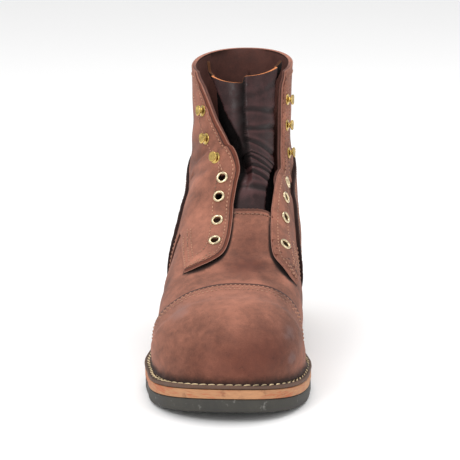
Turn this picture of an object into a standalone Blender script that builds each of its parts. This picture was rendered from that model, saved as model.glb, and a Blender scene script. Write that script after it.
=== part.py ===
"""Lace-up ankle boot, wearer's right, stitched down, with toe cap, counter and stacked heel.

The boot stands on z = 0 with its toe to -Y, its outer side to -X and its inner side to +X.
The upper is one hollow wall over the form of the last. That form is a row of half rings from
the toe edge to the collar, each from the ridge over the instep down to the sole edge, or
round to the back of the heel. A place on it is (row, share): the row in RINGS, and the
share of the half ring from the ridge, less than 0 on the outer side and more on the inner.
"""
import math

import bpy
import numpy as np
from mathutils import Vector
from mathutils.geometry import delaunay_2d_cdt

MM = 0.001

# Driving sizes in millimetres
SOLE_LENGTH = 300.0
BALL_WIDTH = 112.0
HEEL_STACK = 24.0
TOE_SPRING = 8.0
SHAFT_HEIGHT = 199.0
INSTEP_HEIGHT = 103.0
TOE_HEIGHT = 62.0
COLLAR_WIDTH = 64.0

# Leather, rubber and their seats, in millimetres
FIT = 0.3
EDGE_LIFT = 0.4
SEAT_CLEAR = 0.3
HOLE_CLEAR = 1.1
VAMP_WALL = 2.6
QUARTER_WALL = 3.2
QUARTER_STEP = 1.7
HIGH_WALL = VAMP_WALL + QUARTER_STEP
OVERLAY_WALL = 1.8
FLANGE_THICK = 2.6
MIDSOLE_THICK = 6.0
OUTSOLE_THICK = 8.5
OUTSOLE_HEEL_THICK = 5.0
INSOLE_THICK = 3.5
LIFT_THICK = 7.2
TONGUE_THICK = 2.0
TONGUE_FOLD = 4.0
HEEL_LENGTH = 78.0
SHANK_LENGTH = 84.0
FLAT_LENGTH = 74.0

# Eyelets and speed hooks, in millimetres
EYELET_WIDTH = 9.0
EYELET_HOLE = 4.8
EYELET_RISE = 1.0
EYELET_METAL = 0.35
HOOK_STANDS = 5.2
HOOK_CAP = 7.0
HOOK_NECK = 3.0
HOOK_BASE = 8.0

# Edge of the last where the wall meets the sole: station from the heel's back and half
# widths, as shares of the sole's length and of the ball's width
FEATHER = (
    # station, outer, inner
    (0.13, 0.256, 0.250),
    (0.25, 0.254, 0.232),
    (0.37, 0.281, 0.205),
    (0.47, 0.340, 0.246),
    (0.57, 0.382, 0.317),
    (0.66, 0.394, 0.372),
    (0.73, 0.388, 0.402),
    (0.80, 0.350, 0.396),
)
TOE_ARC_START = 0.80
TOE_RIDGE = 0.070
HEEL_ARC_START = 0.13
SEAT_BACK = 0.036
TOE_BACK = 0.039

# Half rings of the last. Ridge and end stations are shares of the sole's length. Ridge
# heights are shares of the named height. Rings end on the sole edge or on the back line.
# Outer and inner are how far the widest place stands out from the sole edge as shares of
# the ball's width, and from heel_back up they are its half widths as shares of the collar's.
RINGS = (
    # name, ridge station, height, of, end station, height, outer, inner, widest, full, lean, tail, tuck
    ("toe_edge", 0.961, 0.00, "edge", 0.800, 0.0, 0.000, 0.000, 1.25, 2.20, 0.070, 2.0, 1.0),
    ("toe_wall", 0.958, 0.58, "toe", 0.785, 0.0, 0.006, 0.006, 1.10, 2.30, 0.072, 2.0, 1.0),
    ("toe_top", 0.932, 0.80, "toe", 0.762, 0.0, 0.006, 0.010, 0.88, 2.40, 0.075, 2.0, 1.0),
    ("toe_box", 0.862, 0.99, "toe", 0.732, 0.0, 0.004, 0.010, 0.74, 2.45, 0.078, 2.0, 1.0),
    ("cap_seam", 0.757, 1.07, "toe", 0.690, 0.0, 0.004, 0.018, 0.62, 2.55, 0.082, 2.0, 1.0),
    ("ball", 0.665, 0.72, "instep", 0.625, 0.0, 0.008, 0.060, 0.56, 2.60, 0.088, 2.0, 1.0),
    ("vamp", 0.585, 0.83, "instep", 0.545, 0.0, 0.024, 0.100, 0.56, 2.50, 0.094, 2.0, 1.0),
    ("throat", 0.513, 1.00, "instep", 0.440, 0.0, 0.050, 0.130, 0.58, 2.30, 0.085, 2.0, 1.0),
    ("instep", 0.468, 1.18, "instep", 0.330, 0.0, 0.076, 0.134, 0.58, 2.15, 0.060, 2.0, 1.0),
    ("waist", 0.446, 1.29, "instep", 0.220, 0.0, 0.078, 0.096, 0.56, 2.05, 0.045, 2.0, 1.05),
    ("heel_side", 0.436, 1.35, "instep", 0.125, 0.0, 0.064, 0.066, 0.54, 1.98, 0.035, 2.1, 1.15),
    ("heel_round", 0.428, 1.40, "instep", 0.058, 0.0, 0.137, 0.138, 0.52, 2.00, 0.030, 2.3, 1.6),
    ("heel_back", 0.420, 0.735, "shaft", 0.036, 0.0, 0.541, 0.532, 0.50, 2.00, 0.025, 2.4, 2.3),
    ("counter", 0.411, 0.770, "shaft", 0.029, 0.33, 0.525, 0.515, 0.50, 2.00, 0.020, 2.35, 2.3),
    ("ankle", 0.401, 0.810, "shaft", 0.040, 0.50, 0.500, 0.490, 0.50, 2.05, 0.018, 2.2, 2.2),
    ("shaft_low", 0.389, 0.852, "shaft", 0.055, 0.65, 0.483, 0.480, 0.50, 2.10, 0.018, 2.1, 2.15),
    ("shaft_mid", 0.374, 0.902, "shaft", 0.056, 0.81, 0.483, 0.483, 0.50, 2.15, 0.018, 2.1, 2.15),
    ("collar", 0.357, 0.955, "shaft", 0.040, 1.00, 0.500, 0.500, 0.50, 2.20, 0.018, 2.1, 2.15),
)
HEEL_TURN_ROW = 10.0
HEEL_BACK_ROW = 12.0
SMOOTHED_ROWS = (8.2, 10.2, 14.4, 16.2)
SMOOTHED_REACH = 26.0
COLLAR_ROW = 17.0
HALF_GIRTH = 112.0
LEVEL_HEIGHT = 14.0
HEEL_LEVEL_ROWS = (0.6, 2.2)
HEEL_LEVEL_SHARES = (0.70, 0.86)
ROW_STEP = 15.0
UPPER_STEP = 7.8
BORDER_ROWS = (
    # from row, to row, steps
    (0.0, 7.0, 14),
    (7.0, 10.0, 12),
    (10.0, 12.0, 6),
    (12.0, 12.4, 2),
    (12.4, 15.1, 6),
    (15.1, 17.0, 4),
)
END_STEP = 0.35
STATIONS = [0.0, 20.0, 35.0, 50.0, 65.0] + [HEEL_LENGTH + 2.0 + 6.0 * k for k in range(15)] + [
    176.0, 190.0, 204.0, 218.0, 232.0, 241.0, 250.0, 259.0, 268.0, 277.0, 286.0, 295.0, 304.0]


def smooth(table_x, table_y, x):
    """Value at x of a smooth curve through a table, with flat ends."""
    table_x = np.asarray(table_x, dtype=float)
    table_y = np.asarray(table_y, dtype=float)
    x = np.clip(np.asarray(x, dtype=float), table_x[0], table_x[-1])
    slope = np.diff(table_y) / np.diff(table_x)
    tangent = np.empty_like(table_y)
    tangent[0] = slope[0]
    tangent[-1] = slope[-1]
    tangent[1:-1] = 0.5 * (slope[:-1] + slope[1:])
    i = np.clip(np.searchsorted(table_x, x, side="right") - 1, 0, len(table_x) - 2)
    width = table_x[i + 1] - table_x[i]
    u = (x - table_x[i]) / width
    rise = table_y[i + 1] - table_y[i]
    start = tangent[i] * width
    end = tangent[i + 1] * width
    return table_y[i] + u * (start + u * (3 * rise - 2 * start - end + u * (start + end - 2 * rise)))


def ease(x):
    """Smooth step from 0 to 1."""
    x = np.clip(x, 0.0, 1.0)
    return x * x * (3.0 - 2.0 * x)


def ramp(x, bend=0.45):
    """Straight slope from 0 to 1 with its ends bent level, each over a share of the way."""
    x = np.clip(x, 0.0, 1.0)
    slope = 1.0 / (1.0 - bend)
    start = 0.5 * slope * x * x / bend
    end = 1.0 - 0.5 * slope * (1.0 - x) ** 2 / bend
    return np.where(x < bend, start, np.where(x > 1.0 - bend, end, slope * (x - 0.5 * bend)))


def sole_under(station):
    """Height of the outsole's underside at a station in millimetres from the heel's back."""
    return np.interp(station, STATIONS, [smooth_under(s) for s in STATIONS])


def smooth_under(station):
    """The underside's profile: level heel, shank, level tread and toe spring."""
    flat_start = HEEL_LENGTH + 2.0 + SHANK_LENGTH
    flat_end = flat_start + FLAT_LENGTH
    fall = float(ramp((station - HEEL_LENGTH - 2.0) / SHANK_LENGTH))
    spring = max(0.0, (station - flat_end) / (SOLE_LENGTH - flat_end)) ** 2
    return HEEL_STACK * (1.0 - fall) + TOE_SPRING * spring


def outsole_top(station):
    """Height of the outsole's upper face."""
    blend = ease((station - HEEL_LENGTH) / SHANK_LENGTH)
    return sole_under(station) + OUTSOLE_HEEL_THICK + (OUTSOLE_THICK - OUTSOLE_HEEL_THICK) * blend


def midsole_top(station):
    """Height of the midsole's upper face."""
    return outsole_top(station) + FIT + MIDSOLE_THICK


def flange_top(station):
    """Height of the turned-out edge of the upper, where the last's wall starts."""
    return midsole_top(station) + FIT + FLANGE_THICK


def superellipse(u, power):
    """Half width at the depth u below a rounded top, from 0 at u = 0 to 1 at u = 1."""
    u = np.clip(u, 0.0, 1.0)
    return (1.0 - (1.0 - u) ** power) ** (1.0 / power)


def feather_half(station, side):
    """Half width of the last's edge in millimetres, with its round toe and heel."""
    share = np.asarray(station, dtype=float) / SOLE_LENGTH
    column = 1 if side < 0 else 2
    half = BALL_WIDTH * smooth([row[0] for row in FEATHER], [row[column] for row in FEATHER], share)
    ridge = TOE_RIDGE * BALL_WIDTH * side
    start = TOE_ARC_START
    reach = (1.0 - TOE_BACK - share) / (1.0 - TOE_BACK - start)
    toe = RINGS[0]
    arc = superellipse(reach / toe[8], toe[9]) / superellipse(1.0 / toe[8], toe[9])
    widest = BALL_WIDTH * FEATHER[-1][column]
    half = np.where(share > start, ridge + (widest - ridge) * arc, half)
    heel = BALL_WIDTH * FEATHER[0][column]
    back = np.clip((HEEL_ARC_START - share) / (HEEL_ARC_START - SEAT_BACK), 0.0, 1.0)
    half = np.where(share < HEEL_ARC_START, heel * (1.0 - back ** 2.2) ** (1.0 / 2.2), half)
    return half


def ring_columns(rows):
    """Columns of the ring table, smoothly interpolated at the given rows, in millimetres."""
    index = np.arange(len(RINGS))
    scale = {"edge": 0.0, "toe": TOE_HEIGHT, "instep": INSTEP_HEIGHT, "shaft": SHAFT_HEIGHT}
    ridge_station = np.array([row[1] for row in RINGS]) * SOLE_LENGTH
    ridge_height = np.array([row[2] * scale[row[3]] for row in RINGS])
    ridge_height[0] = flange_top(ridge_station[0])
    end_station = np.array([row[4] for row in RINGS]) * SOLE_LENGTH
    end_height = np.array([row[5] * SHAFT_HEIGHT for row in RINGS])
    on_edge = end_height == 0.0
    end_height[on_edge] = flange_top(end_station[on_edge])
    columns = [ridge_station, ridge_height, end_station, end_height]
    columns += [np.array([row[k] for row in RINGS], dtype=float) for k in range(6, 13)]
    below = index < HEEL_BACK_ROW
    for column, side in ((4, -1), (5, 1)):
        edge = feather_half(end_station, side)
        share = columns[column]
        columns[column] = np.where(below, edge + share * BALL_WIDTH, share * COLLAR_WIDTH)
    columns = [smooth(index, column, rows) for column in columns]
    left = (HEEL_BACK_ROW - rows) / (HEEL_BACK_ROW - HEEL_TURN_ROW)
    seat = SEAT_BACK * SOLE_LENGTH
    turn = RINGS[int(HEEL_TURN_ROW)][4] * SOLE_LENGTH
    columns[2] = np.where((left > 0.0) & (left < 1.0), seat + (turn - seat) * left ** 2, columns[2])
    return columns


def build_form(rows=171, shares=61):
    """Grid of points and outward normals on the last, rows by shares from -1 to 1."""
    row_values = np.linspace(0.0, COLLAR_ROW, rows)
    columns = ring_columns(row_values)
    grid = np.zeros((rows, 2 * shares - 1, 3))
    for side in (-1, 1):
        for i, row in enumerate(row_values):
            ridge_s, ridge_z, end_s, end_z, outer, inner = [c[i] for c in columns[:6]]
            widest, full, lean, tail, tuck = [c[i] for c in columns[6:]]
            half = outer if side < 0 else inner
            ridge = lean * BALL_WIDTH * side
            on_edge = row < HEEL_BACK_ROW
            if on_edge:
                end_z = float(flange_top(end_s))
            end_half = float(feather_half(end_s, side)) if on_edge else 0.0
            turn = np.linspace(0.0, 1.0, 161)
            t = 0.5 - 0.5 * np.cos(turn * math.pi)
            top = superellipse(t / widest, full)
            if widest >= 1.0:
                across = ridge + (end_half - ridge) * top / superellipse(1.0 / widest, full)
            else:
                upper = ridge + (half - ridge) * top
                low = np.clip((t - widest) / (1.0 - widest), 0.0, 1.0)
                lower = end_half + (half - end_half) * (1.0 - low ** tail) ** (1.0 / tuck)
                across = np.where(t < widest, upper, lower)
            station = ridge_s + (end_s - ridge_s) * t
            height = ridge_z + (end_z - ridge_z) * t
            line = np.stack([across * side, SOLE_LENGTH / 2 - station, height], axis=1)
            steps = np.linalg.norm(np.diff(line, axis=0), axis=1)
            run = np.concatenate([[0.0], np.cumsum(steps)])
            wanted = np.linspace(0.0, run[-1], shares)
            even = np.stack([np.interp(wanted, run, line[:, k]) for k in range(3)], axis=1)
            if side < 0:
                grid[i, :shares] = even[::-1]
            else:
                grid[i, shares - 1:] = even
    middle = shares - 1
    grid[:, middle, 0] = 0.5 * (grid[:, middle - 1, 0] + grid[:, middle + 1, 0])
    grid = round_over(grid)
    along = np.gradient(grid, axis=0)
    across = np.gradient(grid, axis=1)
    normal = np.cross(across, along)
    normal /= np.maximum(np.linalg.norm(normal, axis=2, keepdims=True), 1e-9)
    back = int(math.ceil(HEEL_BACK_ROW / COLLAR_ROW * (rows - 1)))
    seam = normal[back:, 0] + normal[back:, -1]
    seam[:, 0] = 0.0
    normal[back:, 0] = normal[back:, -1] = seam / np.linalg.norm(seam, axis=1, keepdims=True)
    return grid, level_near_edge(grid, normal)


def round_over(grid):
    """Smooth the grid from row to row where the shaft grows out of the foot, but not at its edges."""
    rows, shares = grid.shape[:2]
    padded = np.concatenate([grid[:1]] * 8 + [grid] + [grid[-1:]] * 8)
    weights = [math.exp(-(k / 5.0) ** 2) for k in range(-8, 9)]
    smoothed = sum(padded[8 + k:8 + k + rows] * weights[8 + k] for k in range(-8, 9)) / sum(weights)
    row = np.linspace(0.0, COLLAR_ROW, rows)
    start, full, fade, end = SMOOTHED_ROWS
    along = ease((row - start) / (full - start)) * (1.0 - ease((row - fade) / (end - fade)))
    from_edge = (1.0 - np.abs(np.linspace(-1.0, 1.0, shares))) * HALF_GIRTH
    share = along[:, None] * ease(from_edge / SMOOTHED_REACH)[None]
    return grid + (smoothed - grid) * share[:, :, None]


def feather_loop(grid):
    """Points of the last's edge in order: heel back, inner side, toe, outer side."""
    rows = int(round(HEEL_BACK_ROW / COLLAR_ROW * (grid.shape[0] - 1)))
    inner = grid[rows:0:-1, -1]
    toe = grid[0, ::-1]
    outer = grid[1:rows, 0]
    return np.concatenate([inner, toe, outer])


def loop_normals(loop):
    """Level outward directions of a closed loop seen from above."""
    ahead = np.roll(loop, -2, axis=0) - np.roll(loop, 2, axis=0)
    outward = np.stack([-ahead[:, 1], ahead[:, 0], np.zeros(len(loop))], axis=1)
    if (outward[:, :2] * (loop[:, :2] - loop[:, :2].mean(axis=0))).sum() < 0.0:
        outward = -outward
    return outward / np.linalg.norm(outward, axis=1, keepdims=True)


def level_near_edge(grid, normal):
    """Turn the normals level where the wall meets the sole and round the heel's lower back."""
    loop = feather_loop(grid)
    outward = loop_normals(loop)
    near = np.linalg.norm(grid[:, :, None, :2] - loop[None, None, ::2, :2], axis=3)
    nearest = near.argmin(axis=2) * 2
    floor = flange_top(SOLE_LENGTH / 2 - grid[:, :, 1])
    share = ease((grid[:, :, 2] - floor) / LEVEL_HEIGHT)
    share = np.maximum(share, ease(near.min(axis=2) / LEVEL_HEIGHT - 0.3))
    from_heel = np.abs(np.linspace(0.0, COLLAR_ROW, grid.shape[0]) - HEEL_BACK_ROW)[:, None]
    aside = np.abs(np.linspace(-1.0, 1.0, grid.shape[1]))[None]
    full, none = HEEL_LEVEL_ROWS
    start, end = HEEL_LEVEL_SHARES
    at_heel = (1.0 - ease((from_heel - full) / (none - full))) * ease((aside - start) / (end - start))
    share = (share * (1.0 - at_heel))[:, :, None]
    mixed = outward[nearest] * (1.0 - share) + normal * share
    return mixed / np.linalg.norm(mixed, axis=2, keepdims=True)


FORM, FORM_NORMAL = build_form()


def on_form(row, share, offset=0.0):
    """Point in millimetres on the last at a row and share, moved out by an offset."""
    over = max(0.0, row - COLLAR_ROW)
    fi = min(max(row, 0.0), COLLAR_ROW) / COLLAR_ROW * (FORM.shape[0] - 1)
    fj = (min(max(share, -1.0), 1.0) + 1.0) / 2.0 * (FORM.shape[1] - 1)
    i = min(int(fi), FORM.shape[0] - 2)
    j = min(int(fj), FORM.shape[1] - 2)
    u = fi - i
    v = fj - j
    weights = ((i, j, (1 - u) * (1 - v)), (i + 1, j, u * (1 - v)),
               (i, j + 1, (1 - u) * v), (i + 1, j + 1, u * v))
    point = sum(FORM[a, b] * w for a, b, w in weights)
    normal = sum(FORM_NORMAL[a, b] * w for a, b, w in weights)
    normal = normal / np.linalg.norm(normal)
    if over > 0.0:
        point = point + over * (on_form(COLLAR_ROW, share) - on_form(COLLAR_ROW - 1.0, share))
    return point + normal * offset


def form_normal(row, share):
    """Outward direction on the last."""
    return on_form(row, share, 1.0) - on_form(row, share, 0.0)


# Turned-out edge beyond the last: station, outer, inner, as shares of the sole's length and
# in millimetres
FLANGE = (
    # station, outer, inner
    (0.00, 10.4, 10.4),
    (0.20, 10.2, 10.0),
    (0.37, 9.4, 9.0),
    (0.57, 10.0, 9.2),
    (0.73, 12.0, 10.5),
    (0.85, 11.9, 11.1),
    (1.00, 11.3, 11.3),
)

# Panel edges as places on the last: row, share of the outer side, share of the inner side
FACING = (
    # row, outer, inner
    (17.0, -0.300, 0.300),
    (15.9, -0.200, 0.294),
    (14.2, -0.105, 0.276),
    (12.9, -0.055, 0.240),
    (10.9, -0.025, 0.226),
    (9.4, -0.017, 0.208),
    (8.6, -0.022, 0.194),
    (8.0, -0.045, 0.180),
    (7.3, -0.082, 0.156),
)
THROAT_ROW = 7.2
FLAP_EDGE = (
    # row, outer, inner
    (7.3, -0.082, 0.156),
    (6.7, -0.096, 0.150),
    (6.1, -0.116, 0.164),
    (5.6, -0.150, 0.200),
    (5.3, -0.217, 0.270),
    (5.12, -0.317, 0.350),
    (5.15, -0.400, 0.425),
)
FLAP_BACK = (
    # row, outer, inner
    (5.15, -0.400, 0.425),
    (6.0, -0.405, 0.420),
    (6.9, -0.420, 0.422),
    (7.3, -0.450, 0.435),
)
QUARTER_FRONT = (
    # row, outer, inner
    (7.3, -0.450, 0.435),
    (7.05, -0.535, 0.490),
    (6.80, -0.680, 0.620),
    (6.62, -0.840, 0.800),
    (6.55, -1.000, 1.000),
)
COUNTER_EDGE = (
    # row, outer, inner
    (6.95, -1.000, 1.000),
    (6.97, -0.840, 0.800),
    (7.02, -0.690, 0.620),
    (7.20, -0.580, 0.510),
    (7.60, -0.515, 0.455),
    (8.20, -0.475, 0.425),
    (9.00, -0.435, 0.405),
    (10.0, -0.400, 0.380),
    (11.0, -0.377, 0.361),
    (12.0, -0.359, 0.345),
    (12.8, -0.400, 0.390),
    (13.6, -0.490, 0.485),
    (14.3, -0.625, 0.615),
    (14.8, -0.775, 0.770),
    (15.1, -1.000, 1.000),
)
CAP_EDGE = (
    # row, share
    (3.55, -1.00),
    (3.62, -0.75),
    (3.76, -0.50),
    (4.02, -0.34),
    (4.20, -0.14),
    (4.22, 0.08),
    (4.20, 0.28),
    (4.10, 0.46),
    (3.90, 0.62),
    (3.72, 0.80),
    (3.65, 1.00),
)

# Places of the eyelets and of the speed hooks, low to high
EYELETS = (
    # row, share
    (6.10, -0.195),
    (6.80, -0.175),
    (7.60, -0.150),
    (8.35, -0.110),
    (6.25, 0.246),
    (7.40, 0.265),
    (8.30, 0.279),
    (10.30, 0.299),
)
# Lines of points round the heel's lower back, where the wall bends most
HEEL_HIGH = (
    # row, share
    (10.2, 0.850),
    (11.0, 0.845),
    (11.7, 0.835),
    (12.2, 0.870),
    (12.5, 0.930),
    (12.6, 0.965),
)
HEEL_LOW = (
    # row, share
    (10.2, 0.945),
    (11.0, 0.935),
    (11.6, 0.920),
    (12.0, 0.915),
    (12.1, 0.955),
    (12.2, 1.000),
)
HOOKS = (
    # row, share
    (10.3, -0.105),
    (13.3, -0.150),
    (15.2, -0.215),
    (13.5, 0.333),
    (14.8, 0.344),
    (15.9, 0.353),
)

FOLD_HALF = 0.03
TONGUE_EDGE = (
    # row, outer, inner
    (6.80, -0.150, 0.215),
    (8.00, -0.150, 0.275),
    (9.40, -0.130, 0.300),
    (11.5, -0.135, 0.320),
    (13.5, -0.190, 0.345),
    (15.5, -0.290, 0.375),
    (17.0, -0.390, 0.390),
    (17.2, -0.395, 0.392),
)

MATERIALS = {
    "roughout": ((0.33, 0.14, 0.09), 0.85, 0.0),
    "tongue_leather": ((0.05, 0.026, 0.026), 0.4, 0.0),
    "insole_leather": ((0.42, 0.25, 0.14), 0.7, 0.0),
    "sole_leather": ((0.6, 0.31, 0.14), 0.6, 0.0),
    "rubber": ((0.08, 0.08, 0.07), 0.7, 0.0),
    "brass": ((0.78, 0.62, 0.28), 0.3, 1.0),
}


def spaced(points, step):
    """Points every step or so along a smooth curve through the given flat points."""
    points = np.asarray(points, dtype=float)
    steps = np.maximum(np.linalg.norm(np.diff(points, axis=0), axis=1), 1e-9)
    run = np.concatenate([[0.0], np.cumsum(steps)])
    count = max(int(round(run[-1] / step)), 1)
    wanted = np.linspace(0.0, run[-1], count + 1)
    return np.stack([smooth(run, points[:, k], wanted) for k in range(points.shape[1])], axis=1)


def flat(row, share):
    """A place on the last as flat millimetres."""
    return (row * ROW_STEP, share * HALF_GIRTH)


def side_curve(table, column, step):
    """One side's column of a panel edge as flat points, evenly spaced."""
    return spaced([flat(row[0], row[column]) for row in table], step)


def inside(points, loop):
    """Which flat points lie in a closed loop."""
    x, y = points[:, 0][:, None], points[:, 1][:, None]
    ax, ay = loop[:, 0][None], loop[:, 1][None]
    bx, by = np.roll(ax, -1, axis=1), np.roll(ay, -1, axis=1)
    crosses = (ay > y) != (by > y)
    span = np.where(by == ay, 1.0, by - ay)
    return (crosses & (x < (bx - ax) * (y - ay) / span + ax)).sum(axis=1) % 2 == 1


def triangles(loops, lines, step, holes=()):
    """Flat points and triangles inside the first loop and outside the holes."""
    points = []
    edges = []
    paths = [(loop, True) for loop in list(loops) + list(holes)] + [(line, False) for line in lines]
    for path, closed in paths:
        first = len(points)
        points += [tuple(p) for p in path]
        count = len(path)
        for k in range(count if closed else count - 1):
            edges.append((first + k, first + (k + 1) % count))
    fixed = np.array(points)
    low, high = fixed.min(axis=0), fixed.max(axis=0)
    nx = max(int(round((high[0] - low[0]) / step)), 2)
    ny = max(int(round((high[1] - low[1]) / (step * 1.15))), 2)
    for i in range(1, nx):
        for j in range(1, ny + 1):
            x = low[0] + (high[0] - low[0]) * i / nx
            y = low[1] + (high[1] - low[1]) * (j - (0.75 if i % 2 else 0.25)) / ny
            apart = np.min(np.hypot(fixed[:, 0] - x, fixed[:, 1] - y))
            if apart > 0.62 * step:
                points.append((x, y))
    found = delaunay_2d_cdt([Vector(p) for p in points], edges, [], 0, 1e-4)
    verts = np.array([tuple(v) for v in found[0]])
    faces = np.array([tuple(f) for f in found[2]])
    middle = verts[faces].mean(axis=1)
    keep = inside(middle, np.asarray(loops[0]))
    for hole in holes:
        keep &= ~inside(middle, np.asarray(hole))
    faces = faces[keep]
    a, b, c = verts[faces[:, 0]], verts[faces[:, 1]], verts[faces[:, 2]]
    turn = (b[:, 0] - a[:, 0]) * (c[:, 1] - a[:, 1]) - (b[:, 1] - a[:, 1]) * (c[:, 0] - a[:, 0])
    faces[turn < 0] = faces[turn < 0][:, ::-1]
    return verts, faces[np.abs(turn) > 1e-3]


def material(name):
    """Material with the leather's, rubber's or metal's plain colour."""
    found = bpy.data.materials.get(name)
    if found:
        return found
    colour, rough, metal = MATERIALS[name]
    made = bpy.data.materials.new(name)
    made.use_nodes = True
    shader = made.node_tree.nodes["Principled BSDF"]
    shader.inputs["Base Color"].default_value = (*colour, 1.0)
    shader.inputs["Roughness"].default_value = rough
    shader.inputs["Metallic"].default_value = metal
    made.diffuse_color = (*colour, 1.0)
    return made


def add_object(name, verts, faces, finish, angle=40.0):
    """Object from points in millimetres and faces, shaded smooth but for its edges."""
    mesh = bpy.data.meshes.new(name)
    points = [tuple(float(c) * MM for c in v) for v in verts]
    mesh.from_pydata(points, [], [tuple(int(i) for i in f) for f in faces])
    mesh.validate()
    mesh.shade_smooth()
    mesh.set_sharp_from_angle(angle=math.radians(angle))
    made = bpy.data.objects.new(name, mesh)
    made.data.materials.append(material(finish))
    bpy.context.scene.collection.objects.link(made)
    return made


def level_normal(row, share):
    """Outward direction at the sole edge, without its rise."""
    normal = form_normal(row, share) * np.array((1.0, 1.0, 0.0))
    return normal / np.linalg.norm(normal)


def quarter_lining(row, share):
    """How far the shaft's inner face stands out from the last."""
    full = HIGH_WALL - QUARTER_WALL
    from_edge = max((1.0 - abs(share)) * HALF_GIRTH / 15.0, row - HEEL_BACK_ROW)
    return full * float(ease((row - THROAT_ROW) / 1.5)) * float(ease(from_edge))


def flange_width(station, side):
    """Width of the turned-out edge beyond the last."""
    column = 1 if side < 0 else 2
    return float(smooth([r[0] for r in FLANGE], [r[column] for r in FLANGE], station / SOLE_LENGTH))


def round_places(row, share, radius, count):
    """Places (row, share) that lie on a circle of a radius round a place on the last."""
    along = (on_form(row + 0.05, share) - on_form(row - 0.05, share)) / 0.1
    across = (on_form(row, share + 0.01) - on_form(row, share - 0.01)) / 0.02
    first = along / np.linalg.norm(along)
    second = np.cross(form_normal(row, share), first)
    solve = np.linalg.pinv(np.stack([along, across], axis=1))
    places = []
    for k in range(count):
        turn = 2.0 * math.pi * k / count
        step = solve @ ((first * math.cos(turn) + second * math.sin(turn)) * radius)
        places.append((row + step[0], share + step[1]))
    return places


def hole_loop(row, share, radius, count=10):
    """Round hole in the flat map that is round on the last."""
    return np.array([flat(*place) for place in round_places(row, share, radius, count)])


def upper_outline(step):
    """Loop of the upper in the flat map: toe edge, sides, back, collar and throat."""
    toe = [flat(0.0, s) for s in np.linspace(-1.0, 1.0, int(round(2 * HALF_GIRTH / step)) + 1)]
    rows = [np.linspace(low, high, int(round(count)), endpoint=False) for low, high, count in BORDER_ROWS]
    rows = np.concatenate(rows + [[COLLAR_ROW]])
    inner_side = [flat(r, 1.0) for r in rows[1:]]
    outer_side = [flat(r, -1.0) for r in rows[::-1][:-1]]
    inner_facing = side_curve(FACING, 2, step)
    outer_facing = side_curve(FACING, 1, step)[::-1]
    collar_in = spaced([flat(COLLAR_ROW, 1.0), inner_facing[0]], step)[1:]
    collar_out = spaced([outer_facing[-1], flat(COLLAR_ROW, -1.0)], step)[1:-1]
    throat = spaced([inner_facing[-1], flat(THROAT_ROW, 0.04), outer_facing[0]], step)[1:]
    return [tuple(p) for p in toe + inner_side + list(collar_in) + list(inner_facing[1:])
            + list(throat) + list(outer_facing[1:]) + list(collar_out) + outer_side]


def meet_border(line, border):
    """A panel edge whose ends move to the border's nearest points."""
    line = np.array(line)
    border = np.array(border)
    for end in (0, -1):
        on_side = np.abs(np.abs(line[end, 1]) - HALF_GIRTH) < 1e-6
        if on_side:
            choice = border[np.abs(border[:, 1] - line[end, 1]) < 1e-6]
            line[end] = choice[np.abs(choice[:, 0] - line[end, 0]).argmin()]
    return line


def map_upper():
    """The upper's flat points and triangles, and which of them each panel covers."""
    border = upper_outline(UPPER_STEP)
    side = {}
    for column in (1, 2):
        flap = side_curve(FLAP_EDGE, column, UPPER_STEP * 0.8)
        back = side_curve(FLAP_BACK, column, UPPER_STEP)
        front = side_curve(QUARTER_FRONT, column, UPPER_STEP)
        side["quarter", column] = meet_border(np.concatenate([flap, back[1:], front[1:]]), border)
        side["counter", column] = meet_border(side_curve(COUNTER_EDGE, column, UPPER_STEP), border)
    cap_line = meet_border(spaced([flat(row, share) for row, share in CAP_EDGE], UPPER_STEP), border)
    holes = [hole_loop(row, share, EYELET_HOLE / 2 + HOLE_CLEAR) for row, share in EYELETS]
    lines = list(side.values()) + [cap_line]
    heel = [spaced([flat(row, share * sign) for row, share in table], UPPER_STEP * 0.7)
            for table in (HEEL_LOW, HEEL_HIGH) for sign in (-1, 1)]
    verts, faces = triangles([border], lines + heel, UPPER_STEP, holes)
    middle = verts[faces].mean(axis=1)
    vamp = beyond(side["quarter", 1], side["quarter", 2])
    cap = beyond(cap_line[:1], cap_line)
    counter = np.zeros(len(faces), dtype=bool)
    for column, sign in ((1, -1.0), (2, 1.0)):
        edge = side["counter", column]
        past = [flat(COUNTER_EDGE[-1][0], 1.1 * sign), flat(COUNTER_EDGE[0][0], 1.1 * sign)]
        loop = np.concatenate([edge, past])
        counter |= inside(middle, loop)
    covers = {"quarter": ~inside(middle, vamp), "toe_cap": inside(middle, cap), "counter": counter}
    return verts, faces, covers


def beyond(outer, inner):
    """Loop of the map's toe end up to lines that run from the sole edge on each side."""
    corner_in = [flat(-0.1, -1.1), flat(-0.1, 1.1), (inner[-1][0], 1.1 * HALF_GIRTH)]
    corner_out = [(outer[-1][0], -1.1 * HALF_GIRTH)]
    return np.array(corner_in + [tuple(p) for p in inner[::-1]] + [tuple(p) for p in outer] + corner_out)


def meets_sole(row, share):
    """Whether a place lies on the edge where the wall meets the sole."""
    return row < 1e-6 or (abs(share) > 0.9999 and row <= HEEL_BACK_ROW + 1e-6)


def flange_under(at):
    """Height of the turned-out edge's underside below or above a point in millimetres."""
    return float(flange_top(SOLE_LENGTH / 2 - at[1])) - FLANGE_THICK


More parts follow.
